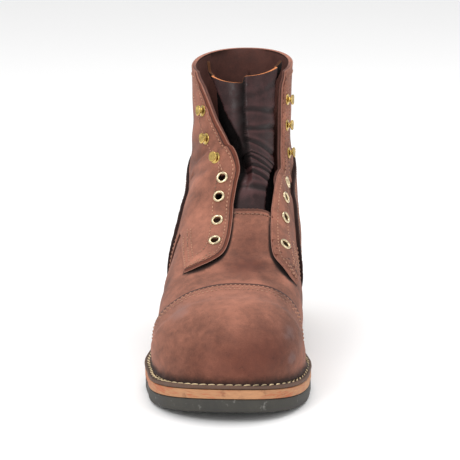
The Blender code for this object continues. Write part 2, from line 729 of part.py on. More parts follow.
def build_wall(name, verts, faces, raised, finish):
    """Closed wall over the map's triangles, stepped where raised changes, with its turned-out edge."""
    places = [(x / ROW_STEP, y / HALF_GIRTH) for x, y in verts]
    same = {}
    canonical = []
    for i, (row, share) in enumerate(places):
        on_back = abs(share) > 0.9999 and row >= HEEL_BACK_ROW - 1e-6
        canonical.append(same.setdefault(round(row, 3), i) if on_back else i)
    faces = np.array(canonical)[faces]
    on_edge = [meets_sole(*place) for place in places]
    count = {}
    for f, face in enumerate(faces):
        for k in range(3):
            count.setdefault(tuple(sorted((face[k], face[(k + 1) % 3]))), []).append((f, k))
    single = [hits[0] for hits in count.values() if len(hits) == 1]
    rims = [(faces[f][k], faces[f][(k + 1) % 3], f) for f, k in single]
    feather = {a: (b, f) for a, b, f in rims if on_edge[a] and on_edge[b]}
    last = {i: on_form(*places[i]) for i in feather}
    outward = {i: level_normal(*places[i]) for i in feather}

    points = []
    index = {}

    def point(kind, i):
        """Number of the wall's point of a kind at place i, made when first asked for."""
        if (kind, i) in index:
            return index[(kind, i)]
        row, share = places[i]
        if i in outward:
            station = SOLE_LENGTH / 2 - last[i][1]
            reach = {"inner": 0.0, "low": VAMP_WALL, "high": HIGH_WALL, "seat": 0.0}.get(kind)
            if reach is None:
                reach = flange_width(station, -1 if last[i][0] < 0 else 1)
            at = last[i] + outward[i] * reach
            at[2] = flange_under(at) + (0.0 if kind in ("seat", "under") else FLANGE_THICK)
        else:
            lift = {"inner": quarter_lining(row, share), "low": VAMP_WALL, "high": HIGH_WALL}[kind]
            at = on_form(row, share, lift)
            if kind != "inner":
                at[2] = max(at[2], flange_under(at) + FLANGE_THICK + EDGE_LIFT)
        index[(kind, i)] = len(points)
        points.append(at)
        return index[(kind, i)]

    level = {f: ("high" if raised[f] else "low") for f in range(len(faces))}
    levels_at = {}
    for f, face in enumerate(faces):
        for i in face:
            levels_at.setdefault(i, set()).add(level[f])
    out = []
    for f, face in enumerate(faces):
        out.append([point(level[f], i) for i in face])
        out.append([point("inner", i) for i in face[::-1]])
    for (a, b), hits in count.items():
        if len(hits) == 2 and level[hits[0][0]] != level[hits[1][0]]:
            f, k = hits[0] if level[hits[0][0]] == "high" else hits[1]
            a, b = faces[f][k], faces[f][(k + 1) % 3]
            out.append([point("high", b), point("high", a), point("low", a), point("low", b)])

    def down(i, kind):
        """Points from the outer face at place i to the wall's inside, past any lower leather."""
        line = [point(kind, i)]
        if kind == "high" and "low" in levels_at[i]:
            line.append(point("low", i))
        return line + [point("inner", i)]

    def ledge(i, kind):
        """Points on the turned-out edge at place i, from the outer face past any higher leather."""
        line = [point(kind, i)]
        if kind == "low" and "high" in levels_at[i]:
            line.append(point("high", i))
        return line

    for a, b, f in rims:
        kind = level[f]
        if a in outward and b in outward:
            ledge_a = ledge(a, kind)
            ledge_b = ledge(b, kind)
            out.append([point(kind, b)] + ledge_a + [point("brim", a), point("brim", b)] + ledge_b[:0:-1])
            out.append([point("brim", b), point("brim", a), point("under", a), point("under", b)])
            out.append([point("under", b), point("under", a), point("seat", a), point("seat", b)])
            out.append([point("seat", b), point("seat", a), point("inner", a), point("inner", b)])
        else:
            line_a = down(a, kind)
            line_b = down(b, kind)
            out.append(line_b[:1] + line_a + line_b[:0:-1])
    return add_object(name, points, flip_if_needed(points, out), finish)


def flip_if_needed(points, faces):
    """Faces turned so that the closed body's volume is more than nothing."""
    points = np.asarray(points)
    volume = 0.0
    for face in faces:
        a = points[face[0]]
        for k in range(1, len(face) - 1):
            volume += float(np.dot(a, np.cross(points[face[k]], points[face[k + 1]])))
    return faces if volume > 0.0 else [face[::-1] for face in faces]


def make_panel(name, verts, faces, near, far, finish):
    """Closed panel over triangles of the map, between two offsets from the last."""
    places = [(x / ROW_STEP, y / HALF_GIRTH) for x, y in verts]
    welded = {}
    canonical = []
    for i, (row, share) in enumerate(places):
        on_back = abs(share) > 0.9999 and row >= HEEL_BACK_ROW - 1e-6
        canonical.append(welded.setdefault(round(row, 3), i) if on_back else i)
    faces = np.array(canonical)[np.array(faces)]
    used = sorted(set(faces.ravel()))
    index = {i: k for k, i in enumerate(used)}
    points = []
    for offset in (far, near):
        for i in used:
            row, share = places[i]
            at = on_form(row, share, offset(row, share))
            if meets_sole(row, share):
                at = on_form(row, share) + level_normal(row, share) * offset(row, share)
                at[2] = flange_under(at) + FLANGE_THICK + FIT
            else:
                at[2] = max(at[2], flange_under(at) + FLANGE_THICK + FIT + EDGE_LIFT)
            points.append(at)
    total = len(used)
    sides = {}
    out = []
    for face in faces:
        a, b, c = (index[i] for i in face)
        out.append([a, b, c])
        out.append([c + total, b + total, a + total])
        for start, end in ((a, b), (b, c), (c, a)):
            sides.setdefault((min(start, end), max(start, end)), []).append((start, end))
    for hits in sides.values():
        if len(hits) == 1:
            a, b = hits[0]
            out.append([b, a, a + total, b + total])
    return add_object(name, points, flip_if_needed(points, out), finish)


def constant(value):
    """Offset that is the same all over."""
    return lambda row, share: value


def make_uppers():
    """The hollow upper, and over it the toe cap and the heel counter."""
    verts, faces, covers = map_upper()
    build_wall("upper", verts, faces, covers["quarter"], "roughout")
    near = VAMP_WALL + FIT
    far = near + OVERLAY_WALL
    make_panel("toe_cap", verts, faces[covers["toe_cap"]], constant(near), constant(far), "roughout")
    near = HIGH_WALL + FIT
    far = near + OVERLAY_WALL
    make_panel("counter", verts, faces[covers["counter"]], constant(near), constant(far), "roughout")


def sole_outline(inset):
    """Outline of the sole: the last's edge and the turned-out edge round it, less an inset."""
    loop = feather_loop(FORM)[:, :2]
    outward = loop_normals(feather_loop(FORM))[:, :2]
    width = [flange_width(SOLE_LENGTH / 2 - y, -1 if x < 0 else 1) for x, y in loop]
    return loop + outward * (np.array(width)[:, None] - inset)


def insole_outline(inset):
    """Outline of the insole, inside the last's edge."""
    loop = feather_loop(FORM)
    return loop[:, :2] - loop_normals(loop)[:, :2] * inset


def cross_lines(outline, front):
    """Stations along an outline with its outer and inner edge there, closer together at its ends."""
    station = SOLE_LENGTH / 2 - outline[:, 1]
    tip = int(station.argmax())
    back = int(station.argmin())
    turned_loop = np.roll(outline, -back, axis=0)
    tip = (tip - back) % len(outline)
    halves = []
    for half in (turned_loop[:tip + 1], np.concatenate([turned_loop[tip:], turned_loop[:1]])):
        at = SOLE_LENGTH / 2 - half[:, 1]
        order = at.argsort()
        halves.append((at[order], half[order, 0]))
    end_steps = [END_STEP * k * k for k in range(1, 11)]
    room = 0.9 * end_steps[-1]
    low, high = station.min(), min(station.max(), front)
    middle = [s for s in STATIONS if low + room < s < high - 1.0]
    if front > station.max():
        middle = [s for s in middle if s < high - room]
        ends = [high - step for step in end_steps[::-1]]
    else:
        ends = [high]
    stations = [low + step for step in end_steps] + middle + ends
    stations = sorted({round(s, 4) for s in stations})
    rows = []
    for s in stations:
        xs = sorted(float(np.interp(s, *half)) for half in halves)
        rows.append((s, xs[0], xs[1]))
    end = (high, float(turned_loop[tip, 0])) if front > station.max() else None
    return (low, float(turned_loop[0, 0])), rows, end


def make_slab(name, outline, top, under, finish, front=2.0 * SOLE_LENGTH, chamfer=0.0):
    """Closed layer of the sole: strips across an outline, between two heights by station."""
    back, rows, tip = cross_lines(outline, front)
    rings = []
    inset = chamfer
    for s, left, right in rows:
        y = SOLE_LENGTH / 2 - s
        ring = [(left, y, top(s)), (left, y, under(s) + chamfer)]
        if chamfer > 0.0:
            ring += [(left + inset, y, under(s)), (right - inset, y, under(s))]
        ring += [(right, y, under(s) + chamfer), (right, y, top(s))]
        rings.append(ring)
    points = [p for ring in rings for p in ring]
    size = len(rings[0])
    faces = []
    for i in range(len(rings) - 1):
        for k in range(size):
            n = (k + 1) % size
            faces.append([i * size + k, i * size + n, (i + 1) * size + n, (i + 1) * size + k])
    for end, ring in ((back, 0), (tip, len(rings) - 1)):
        here = list(range(ring * size, ring * size + size))
        if end is None:
            faces.append(here if ring else here[::-1])
            continue
        s, x = end
        y = SOLE_LENGTH / 2 - s
        first = len(points)
        levels = [top(s), under(s) + chamfer]
        points += [(x, y, z) for z in levels]
        if chamfer > 0.0:
            inward = -1.0 if ring == 0 else 1.0
            points.append((x, y + inward * inset * 0.9, under(s)))
            strip = [[here[0], here[1], first + 1, first], [here[1], here[2], first + 2, first + 1],
                     [here[2], here[3], first + 2], [here[3], here[4], first + 1, first + 2],
                     [here[4], here[5], first, first + 1], [here[5], here[0], first]]
        else:
            strip = [[here[0], here[1], first + 1, first], [here[1], here[2], first + 1],
                     [here[2], here[3], first, first + 1], [here[3], here[0], first]]
        faces += strip if ring else [face[::-1] for face in strip]
    return add_object(name, points, flip_if_needed(points, faces), finish, 35.0)


def constant_height(value):
    """Height that is the same at every station."""
    return lambda station: value


def make_sole():
    """Rubber outsole, leather midsole and insole, and the stacked heel."""
    make_slab("outsole", sole_outline(0.6), outsole_top, sole_under, "rubber", chamfer=1.2)
    make_slab("midsole", sole_outline(0.3), midsole_top, lambda s: outsole_top(s) + FIT, "sole_leather")
    make_slab("insole", insole_outline(1.0), lambda s: midsole_top(s) + FIT + INSOLE_THICK,
              lambda s: midsole_top(s) + FIT, "insole_leather")
    top_piece = HEEL_STACK - 2 * LIFT_THICK - 3 * FIT
    make_slab("top_piece", sole_outline(1.2), constant_height(top_piece), constant_height(0.0), "rubber",
              HEEL_LENGTH, 0.8)
    low = top_piece + FIT
    for number, inset in ((2, 1.0), (1, 0.8)):
        make_slab(f"heel_lift_{number}", sole_outline(inset), constant_height(low + LIFT_THICK),
                  constant_height(low), "sole_leather", HEEL_LENGTH)
        low += LIFT_THICK + FIT


def turned(profile, segments, place, normal, looped):
    """Points and faces of a turned piece from a profile of radius, height and sideways shift."""
    turn_to = Vector(normal).to_track_quat("Z", "Y").to_matrix()
    points = []
    for radius, height, aside in profile:
        for k in range(segments):
            turn = 2.0 * math.pi * k / segments
            local = Vector((radius * math.cos(turn), radius * math.sin(turn) + aside, height))
            points.append(np.array(place) + np.array(turn_to @ local))
    faces = []
    rings = len(profile)
    for i in range(rings if looped else rings - 1):
        j = (i + 1) % rings
        for k in range(segments):
            n = (k + 1) % segments
            faces.append([i * segments + k, i * segments + n, j * segments + n, j * segments + k])
    if not looped:
        faces.append(list(range(segments))[::-1])
        faces.append(list(range(len(points) - segments, len(points))))
    return points, flip_if_needed(points, faces)


def seat_height(row, share, radius):
    """How far a flat disc must stand off the last so that it clears the quarter's curve."""
    surface = HIGH_WALL
    centre = on_form(row, share, surface)
    normal = form_normal(row, share)
    around = round_places(row, share, radius, 16) + round_places(row, share, 0.5 * radius, 8)
    rises = [float(np.dot(on_form(*place, surface) - centre, normal)) for place in around]
    return surface + FIT + SEAT_CLEAR + max(0.0, max(rises))


def make_eyelets():
    """Eight rolled eyelets through the facings."""
    hole = EYELET_HOLE / 2
    brim = EYELET_WIDTH / 2
    inner = QUARTER_WALL + FIT
    barrel = hole + EYELET_METAL
    profile = ((hole, -inner, 0.0), (hole, 0.35 * EYELET_RISE, 0.0), (hole + 0.5, EYELET_RISE, 0.0),
               (brim - 0.6, EYELET_RISE, 0.0), (brim, 0.0, 0.0), (barrel, 0.0, 0.0), (barrel, -inner, 0.0))
    for number, (row, share) in enumerate(EYELETS):
        side = "outer" if share < 0 else "inner"
        place = on_form(row, share, seat_height(row, share, brim))
        points, faces = turned(profile, 10, place, form_normal(row, share), True)
        add_object(f"eyelet_{side}_{number % 4 + 1}", points, faces, "brass", 50.0)


def make_hooks():
    """Six speed hooks above the eyelets."""
    base, neck, cap = HOOK_BASE / 2, HOOK_NECK / 2, HOOK_CAP / 2
    profile = ((base, 0.0, 0.0), (base, 0.5, 0.0), (neck + 0.6, 1.0, 0.1), (neck, 2.4, 0.5),
               (neck, HOOK_STANDS - 1.7, 1.0), (cap, HOOK_STANDS - 1.2, 1.2), (cap, HOOK_STANDS - 0.6, 1.2),
               (cap * 0.5, HOOK_STANDS, 1.1))
    for number, (row, share) in enumerate(HOOKS):
        side = "outer" if share < 0 else "inner"
        place = on_form(row, share, seat_height(row, share, base))
        points, faces = turned(profile, 10, place, form_normal(row, share), False)
        add_object(f"hook_{side}_{number % 3 + 1}", points, faces, "brass", 50.0)


def fold_share(row):
    """Where the tongue folds over itself at a row."""
    return 0.02 + 0.003 * (COLLAR_ROW - row)


def tongue_offset(depth):
    """How far a tongue's face lies inside the last: its outer part lies behind the fold."""
    def offset(row, share):
        aside = 1.0 - float(ease((share - fold_share(row) + FOLD_HALF) / (2.0 * FOLD_HALF)))
        higher = float(ease((row - THROAT_ROW - 0.4) / 3.0))
        return -3.0 * FIT - depth - TONGUE_FOLD * aside * higher
    return offset


def make_tongue():
    """Bellows tongue behind the facings, tucked under the vamp."""
    step = 8.4
    outer = side_curve(TONGUE_EDGE, 1, step)
    inner = side_curve(TONGUE_EDGE, 2, step)[::-1]
    top = spaced([outer[-1], inner[0]], step)[1:-1]
    foot = spaced([inner[-1], outer[0]], step)[1:-1]
    loop = [tuple(p) for p in list(outer) + list(top) + list(inner) + list(foot)]
    folds = []
    for aside in (-FOLD_HALF, FOLD_HALF):
        rows = np.linspace(THROAT_ROW + 0.4, COLLAR_ROW, 20)
        folds.append(np.array([flat(row, fold_share(row) + aside) for row in rows]))
    verts, faces = triangles([loop], folds, step)
    return make_panel("tongue", verts, faces, tongue_offset(TONGUE_THICK), tongue_offset(0.0), "tongue_leather")


def clear_scene():
    """Remove every object of the scene."""
    for old in list(bpy.data.objects):
        bpy.data.objects.remove(old, do_unlink=True)


def main():
    """Build the whole boot."""
    clear_scene()
    make_sole()
    make_uppers()
    make_tongue()
    make_eyelets()
    make_hooks()


main()
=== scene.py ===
"""Dresses the packed lace-up ankle boot: leather panels, stitching, brass, sole edges and the studio.

The leather lies on the same last as the packed solids. A place on the last is (row, share):
the row in RINGS from the toe edge to the collar, and the share of the half ring from the
ridge over the instep, less than 0 on the outer side and more than 0 on the inner side.
Tables are in millimetres, meshes in metres.
"""
import math

import bmesh
import bpy
import numpy as np
from mathutils import Matrix, Vector
from mathutils.geometry import delaunay_2d_cdt


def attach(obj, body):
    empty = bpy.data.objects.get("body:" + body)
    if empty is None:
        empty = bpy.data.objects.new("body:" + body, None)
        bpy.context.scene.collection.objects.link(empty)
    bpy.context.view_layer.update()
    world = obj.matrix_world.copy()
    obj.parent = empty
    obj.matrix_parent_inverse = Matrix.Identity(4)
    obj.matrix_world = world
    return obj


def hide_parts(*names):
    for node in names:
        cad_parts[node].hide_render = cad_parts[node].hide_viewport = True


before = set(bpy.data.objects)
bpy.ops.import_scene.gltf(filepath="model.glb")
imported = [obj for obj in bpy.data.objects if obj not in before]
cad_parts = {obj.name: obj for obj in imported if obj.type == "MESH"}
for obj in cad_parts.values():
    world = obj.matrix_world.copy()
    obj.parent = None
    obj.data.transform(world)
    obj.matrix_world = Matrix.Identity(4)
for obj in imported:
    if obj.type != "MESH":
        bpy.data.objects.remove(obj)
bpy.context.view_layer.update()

bl_info = {
    "name": "Ankle boot",
    "version": (1, 0, 0),
    "blender": (4, 5, 0),
    "location": "View3D > Sidebar > Boot",
    "description": "Leather, stitching, hardware and sole of a lace-up ankle boot",
    "category": "Object",
}

MM = 0.001

# Sizes of the last and the sole, as in the packed solids
SOLE_LENGTH = 300.0
BALL_WIDTH = 112.0
HEEL_STACK = 24.0
TOE_SPRING = 8.0
SHAFT_HEIGHT = 199.0
INSTEP_HEIGHT = 103.0
TOE_HEIGHT = 62.0
COLLAR_WIDTH = 64.0
FIT = 0.3
VAMP_WALL = 2.6
HIGH_WALL = 4.3
OVERLAY_WALL = 1.8
FLANGE_THICK = 2.6
MIDSOLE_THICK = 6.0
OUTSOLE_THICK = 8.5
OUTSOLE_HEEL_THICK = 5.0
INSOLE_THICK = 3.5
LIFT_THICK = 7.2
HEEL_LENGTH = 78.0
SHANK_LENGTH = 84.0
FLAT_LENGTH = 74.0
ROW_STEP = 15.0
HALF_GIRTH = 112.0
HEEL_TURN_ROW = 10.0
HEEL_BACK_ROW = 12.0
COLLAR_ROW = 17.0
TINY = 1e-9
# Column of the edge tables and side of the boot: outer, then inner
SIDES = ((1, -1.0), (2, 1.0))
SMOOTHED_ROWS = (8.2, 10.2, 14.4, 16.2)
SMOOTHED_REACH = 26.0
TOE_ARC_START = 0.80
TOE_RIDGE = 0.070
HEEL_ARC_START = 0.13
SEAT_BACK = 0.036
TOE_BACK = 0.039

FEATHER = (
    # station, outer, inner
    (0.13, 0.256, 0.250),
    (0.25, 0.254, 0.232),
    (0.37, 0.281, 0.205),
    (0.47, 0.340, 0.246),
    (0.57, 0.382, 0.317),
    (0.66, 0.394, 0.372),
    (0.73, 0.388, 0.402),
    (0.80, 0.350, 0.396),
)
RINGS = (
    # name, ridge station, height, of, end station, height, outer, inner, widest, full, lean, tail, tuck
    ("toe_edge", 0.961, 0.00, "edge", 0.800, 0.0, 0.000, 0.000, 1.25, 2.20, 0.070, 2.0, 1.0),
    ("toe_wall", 0.958, 0.58, "toe", 0.785, 0.0, 0.006, 0.006, 1.10, 2.30, 0.072, 2.0, 1.0),
    ("toe_top", 0.932, 0.80, "toe", 0.762, 0.0, 0.006, 0.010, 0.88, 2.40, 0.075, 2.0, 1.0),
    ("toe_box", 0.862, 0.99, "toe", 0.732, 0.0, 0.004, 0.010, 0.74, 2.45, 0.078, 2.0, 1.0),
    ("cap_seam", 0.757, 1.07, "toe", 0.690, 0.0, 0.004, 0.018, 0.62, 2.55, 0.082, 2.0, 1.0),
    ("ball", 0.665, 0.72, "instep", 0.625, 0.0, 0.008, 0.060, 0.56, 2.60, 0.088, 2.0, 1.0),
    ("vamp", 0.585, 0.83, "instep", 0.545, 0.0, 0.024, 0.100, 0.56, 2.50, 0.094, 2.0, 1.0),
    ("throat", 0.513, 1.00, "instep", 0.440, 0.0, 0.050, 0.130, 0.58, 2.30, 0.085, 2.0, 1.0),
    ("instep", 0.468, 1.18, "instep", 0.330, 0.0, 0.076, 0.134, 0.58, 2.15, 0.060, 2.0, 1.0),
    ("waist", 0.446, 1.29, "instep", 0.220, 0.0, 0.078, 0.096, 0.56, 2.05, 0.045, 2.0, 1.05),
    ("heel_side", 0.436, 1.35, "instep", 0.125, 0.0, 0.064, 0.066, 0.54, 1.98, 0.035, 2.1, 1.15),
    ("heel_round", 0.428, 1.40, "instep", 0.058, 0.0, 0.137, 0.138, 0.52, 2.00, 0.030, 2.3, 1.6),
    ("heel_back", 0.420, 0.735, "shaft", 0.036, 0.0, 0.541, 0.532, 0.50, 2.00, 0.025, 2.4, 2.3),
    ("counter", 0.411, 0.770, "shaft", 0.029, 0.33, 0.525, 0.515, 0.50, 2.00, 0.020, 2.35, 2.3),
    ("ankle", 0.401, 0.810, "shaft", 0.040, 0.50, 0.500, 0.490, 0.50, 2.05, 0.018, 2.2, 2.2),
    ("shaft_low", 0.389, 0.852, "shaft", 0.055, 0.65, 0.483, 0.480, 0.50, 2.10, 0.018, 2.1, 2.15),
    ("shaft_mid", 0.374, 0.902, "shaft", 0.056, 0.81, 0.483, 0.483, 0.50, 2.15, 0.018, 2.1, 2.15),
    ("collar", 0.357, 0.955, "shaft", 0.040, 1.00, 0.500, 0.500, 0.50, 2.20, 0.018, 2.1, 2.15),
)
FLANGE = (
    # station, outer, inner
    (0.00, 10.4, 10.4),
    (0.20, 10.2, 10.0),
    (0.37, 9.4, 9.0),
    (0.57, 10.0, 9.2),
    (0.73, 12.0, 10.5),
    (0.85, 11.9, 11.1),
    (1.00, 11.3, 11.3),
)
FACING = (
    # row, outer, inner
    (17.0, -0.300, 0.300),
    (15.9, -0.200, 0.294),
    (14.2, -0.105, 0.276),
    (12.9, -0.055, 0.240),
    (10.9, -0.025, 0.226),
    (9.4, -0.017, 0.208),
    (8.6, -0.022, 0.194),
    (8.0, -0.045, 0.180),
    (7.3, -0.082, 0.156),
)
THROAT_ROW = 7.2
FLAP_EDGE = (
    # row, outer, inner
    (7.3, -0.082, 0.156),
    (6.7, -0.096, 0.150),
    (6.1, -0.116, 0.164),
    (5.6, -0.150, 0.200),
    (5.3, -0.217, 0.270),
    (5.12, -0.317, 0.350),
    (5.15, -0.400, 0.425),
)
FLAP_BACK = (
    # row, outer, inner
    (5.15, -0.400, 0.425),
    (6.0, -0.405, 0.420),
    (6.9, -0.420, 0.422),
    (7.3, -0.450, 0.435),
)
QUARTER_FRONT = (
    # row, outer, inner
    (7.3, -0.450, 0.435),
    (7.05, -0.535, 0.490),
    (6.80, -0.680, 0.620),
    (6.62, -0.840, 0.800),
    (6.55, -1.000, 1.000),
)
COUNTER_EDGE = (
    # row, outer, inner
    (6.95, -1.000, 1.000),
    (6.97, -0.840, 0.800),
    (7.02, -0.690, 0.620),
    (7.20, -0.580, 0.510),
    (7.60, -0.515, 0.455),
    (8.20, -0.475, 0.425),
    (9.00, -0.435, 0.405),
    (10.0, -0.400, 0.380),
    (11.0, -0.377, 0.361),
    (12.0, -0.359, 0.345),
    (12.8, -0.400, 0.390),
    (13.6, -0.490, 0.485),
    (14.3, -0.625, 0.615),
    (14.8, -0.775, 0.770),
    (15.1, -1.000, 1.000),
)
CAP_EDGE = (
    # row, share
    (3.55, -1.00),
    (3.62, -0.75),
    (3.76, -0.50),
    (4.02, -0.34),
    (4.20, -0.14),
    (4.22, 0.08),
    (4.20, 0.28),
    (4.10, 0.46),
    (3.90, 0.62),
    (3.72, 0.80),
    (3.65, 1.00),
)
EYELETS = (
    # row, share
    (6.10, -0.195),
    (6.80, -0.175),
    (7.60, -0.150),
    (8.35, -0.110),
    (6.25, 0.246),
    (7.40, 0.265),
    (8.30, 0.279),
    (10.30, 0.299),
)
HOOKS = (
    # row, share
    (10.3, -0.105),
    (13.3, -0.150),
    (15.2, -0.215),
    (13.5, 0.333),
    (14.8, 0.344),
    (15.9, 0.353),
)

# Creases pressed into the leather, as soft troughs along lines on the last
VAMP_CREASES = (
    # row, share, row, share, half width, depth in millimetres
    (4.55, 0.02, 4.72, 0.30, 2.6, 0.55),
    (4.62, -0.30, 4.80, -0.04, 3.2, 0.30),
    (5.05, 0.10, 5.25, 0.34, 3.2, 0.45),
    (5.15, -0.12, 5.05, 0.10, 3.4, 0.30),
    (5.70, -0.06, 5.85, 0.16, 3.6, 0.40),
    (6.20, -0.05, 6.30, 0.14, 3.4, 0.35),
    (5.40, -0.55, 5.75, -0.78, 4.5, 0.50),
    (5.30, 0.55, 5.60, 0.80, 4.5, 0.50),
    (6.60, -0.03, 6.75, 0.12, 2.4, 0.35),
)
QUARTER_CREASES = (
    # row, share, row, share, half width, depth in millimetres
    (9.5, -0.20, 11.2, -0.30, 4.0, 0.7),
    (9.8, 0.34, 11.6, 0.36, 4.0, 0.6),
    (12.4, -0.16, 12.9, -0.34, 4.5, 0.8),
    (13.6, -0.26, 14.0, -0.50, 6.0, 0.8),
    (12.8, 0.36, 13.3, 0.60, 5.0, 0.7),
    (15.0, -0.40, 15.3, -0.75, 7.0, 0.6),
    (14.6, 0.42, 15.0, 0.80, 7.0, 0.6),
    (7.9, -0.26, 8.6, -0.34, 4.0, 0.4),
)
TONGUE_EDGE = (
    # row, outer, inner
    (6.80, -0.170, 0.235),
    (8.00, -0.170, 0.300),
    (9.40, -0.150, 0.325),
    (11.5, -0.160, 0.345),
    (13.5, -0.215, 0.370),
    (15.5, -0.320, 0.395),
    (17.0, -0.395, 0.400),
    (17.2, -0.400, 0.402),
)
# Wrinkles across the tongue's front panel
TONGUE_WRINKLES = (
    # row, slant, half width, depth in millimetres
    (16.1, 0.05, 1.8, 0.35),
    (15.1, -0.10, 1.6, 0.8),
    (13.9, 0.18, 1.5, 0.9),
    (12.7, -0.12, 1.6, 1.1),
    (11.4, 0.22, 1.4, 1.2),
    (10.4, -0.25, 1.5, 1.2),
    (9.6, 0.30, 1.4, 1.3),
    (8.8, -0.20, 1.3, 1.3),
    (8.1, 0.15, 1.2, 1.0),
)


def smooth(table_x, table_y, x):
    """Value at x of a smooth curve through a table, with flat ends."""
    table_x = np.asarray(table_x, dtype=float)
    table_y = np.asarray(table_y, dtype=float)
    x = np.clip(np.asarray(x, dtype=float), table_x[0], table_x[-1])
    slope = np.diff(table_y) / np.diff(table_x)
    tangent = np.empty_like(table_y)
    tangent[0] = slope[0]
    tangent[-1] = slope[-1]
    tangent[1:-1] = 0.5 * (slope[:-1] + slope[1:])
    i = np.clip(np.searchsorted(table_x, x, side="right") - 1, 0, len(table_x) - 2)
    width = table_x[i + 1] - table_x[i]
    u = (x - table_x[i]) / width
    rise = table_y[i + 1] - table_y[i]
    start = tangent[i] * width
    end = tangent[i + 1] * width
    return table_y[i] + u * (start + u * (3 * rise - 2 * start - end + u * (start + end - 2 * rise)))


def unit(vectors):
    """Vectors made one long."""
    return vectors / np.maximum(np.linalg.norm(vectors, axis=-1, keepdims=True), TINY)


def run_along(points):
    """Distance of each point of a line from its start."""
    return np.concatenate([[0.0], np.cumsum(np.linalg.norm(np.diff(points, axis=0), axis=1))])


def at_distances(points, run, wanted):
    """Values at wanted distances along a line."""
    return np.stack([np.interp(wanted, run, column) for column in points.T], axis=1)


def ease(x):
    """Smooth step from 0 to 1."""
    x = np.clip(x, 0.0, 1.0)
    return x * x * (3.0 - 2.0 * x)


def bell(x):
    """1 at 0, falling off softly on both sides."""
    return np.exp(-x ** 2)


def ramp(x, bend=0.45):
    """Straight slope from 0 to 1 with its ends bent level."""
    x = np.clip(x, 0.0, 1.0)
    slope = 1.0 / (1.0 - bend)
    start = 0.5 * slope * x * x / bend
    end = 1.0 - 0.5 * slope * (1.0 - x) ** 2 / bend
    return np.where(x < bend, start, np.where(x > 1.0 - bend, end, slope * (x - 0.5 * bend)))


def sole_under(station):
    """Height of the outsole's underside at a station from the heel's back."""
    station = np.asarray(station, dtype=float)
    flat_start = HEEL_LENGTH + 2.0 + SHANK_LENGTH
    flat_end = flat_start + FLAT_LENGTH
    fall = ramp((station - HEEL_LENGTH - 2.0) / SHANK_LENGTH)
    spring = np.maximum(0.0, (station - flat_end) / (SOLE_LENGTH - flat_end)) ** 2
    return HEEL_STACK * (1.0 - fall) + TOE_SPRING * spring


def outsole_top(station):
    """Height of the outsole's upper face."""
    blend = ease((np.asarray(station, dtype=float) - HEEL_LENGTH) / SHANK_LENGTH)
    return sole_under(station) + OUTSOLE_HEEL_THICK + (OUTSOLE_THICK - OUTSOLE_HEEL_THICK) * blend


def midsole_top(station):
    """Height of the midsole's upper face."""
    return outsole_top(station) + FIT + MIDSOLE_THICK


def flange_top(station):
    """Height of the turned-out edge of the upper."""
    return midsole_top(station) + FIT + FLANGE_THICK


def flange_at(y):
    """Height of the turned-out edge at a place along the boot."""
    return flange_top(SOLE_LENGTH / 2 - y)


def superellipse(u, power):
    """Half width at the depth u below a rounded top."""
    u = np.clip(u, 0.0, 1.0)
    return (1.0 - (1.0 - u) ** power) ** (1.0 / power)


def feather_half(station, side):
    """Half width of the last's edge, with its round toe and heel."""
    share = np.asarray(station, dtype=float) / SOLE_LENGTH
    column = 1 if side < 0 else 2
    half = BALL_WIDTH * smooth([row[0] for row in FEATHER], [row[column] for row in FEATHER], share)
    ridge = TOE_RIDGE * BALL_WIDTH * side
    start = TOE_ARC_START
    reach = (1.0 - TOE_BACK - share) / (1.0 - TOE_BACK - start)
    toe = RINGS[0]
    arc = superellipse(reach / toe[8], toe[9]) / superellipse(1.0 / toe[8], toe[9])
    widest = BALL_WIDTH * FEATHER[-1][column]
    half = np.where(share > start, ridge + (widest - ridge) * arc, half)
    heel = BALL_WIDTH * FEATHER[0][column]
    back = np.clip((HEEL_ARC_START - share) / (HEEL_ARC_START - SEAT_BACK), 0.0, 1.0)
    return np.where(share < HEEL_ARC_START, heel * (1.0 - back ** 2.2) ** (1.0 / 2.2), half)


def ring_columns(rows):
    """Columns of the ring table at the given rows, in millimetres."""
    index = np.arange(len(RINGS))
    scale = {"edge": 0.0, "toe": TOE_HEIGHT, "instep": INSTEP_HEIGHT, "shaft": SHAFT_HEIGHT}
    ridge_station = np.array([row[1] for row in RINGS]) * SOLE_LENGTH
    ridge_height = np.array([row[2] * scale[row[3]] for row in RINGS])
    ridge_height[0] = flange_top(ridge_station[0])
    end_station = np.array([row[4] for row in RINGS]) * SOLE_LENGTH
    end_height = np.array([row[5] * SHAFT_HEIGHT for row in RINGS])
    on_edge = end_height == 0.0
    end_height[on_edge] = flange_top(end_station[on_edge])
    columns = [ridge_station, ridge_height, end_station, end_height]
    columns += [np.array([row[k] for row in RINGS], dtype=float) for k in range(6, 13)]
    below = index < HEEL_BACK_ROW
    for column, side in ((4, -1), (5, 1)):
        edge = feather_half(end_station, side)
        share = columns[column]
        columns[column] = np.where(below, edge + share * BALL_WIDTH, share * COLLAR_WIDTH)
    columns = [smooth(index, column, rows) for column in columns]
    left = (HEEL_BACK_ROW - rows) / (HEEL_BACK_ROW - HEEL_TURN_ROW)
    seat = SEAT_BACK * SOLE_LENGTH
    turn = RINGS[int(HEEL_TURN_ROW)][4] * SOLE_LENGTH
    columns[2] = np.where((left > 0.0) & (left < 1.0), seat + (turn - seat) * left ** 2, columns[2])
    return columns


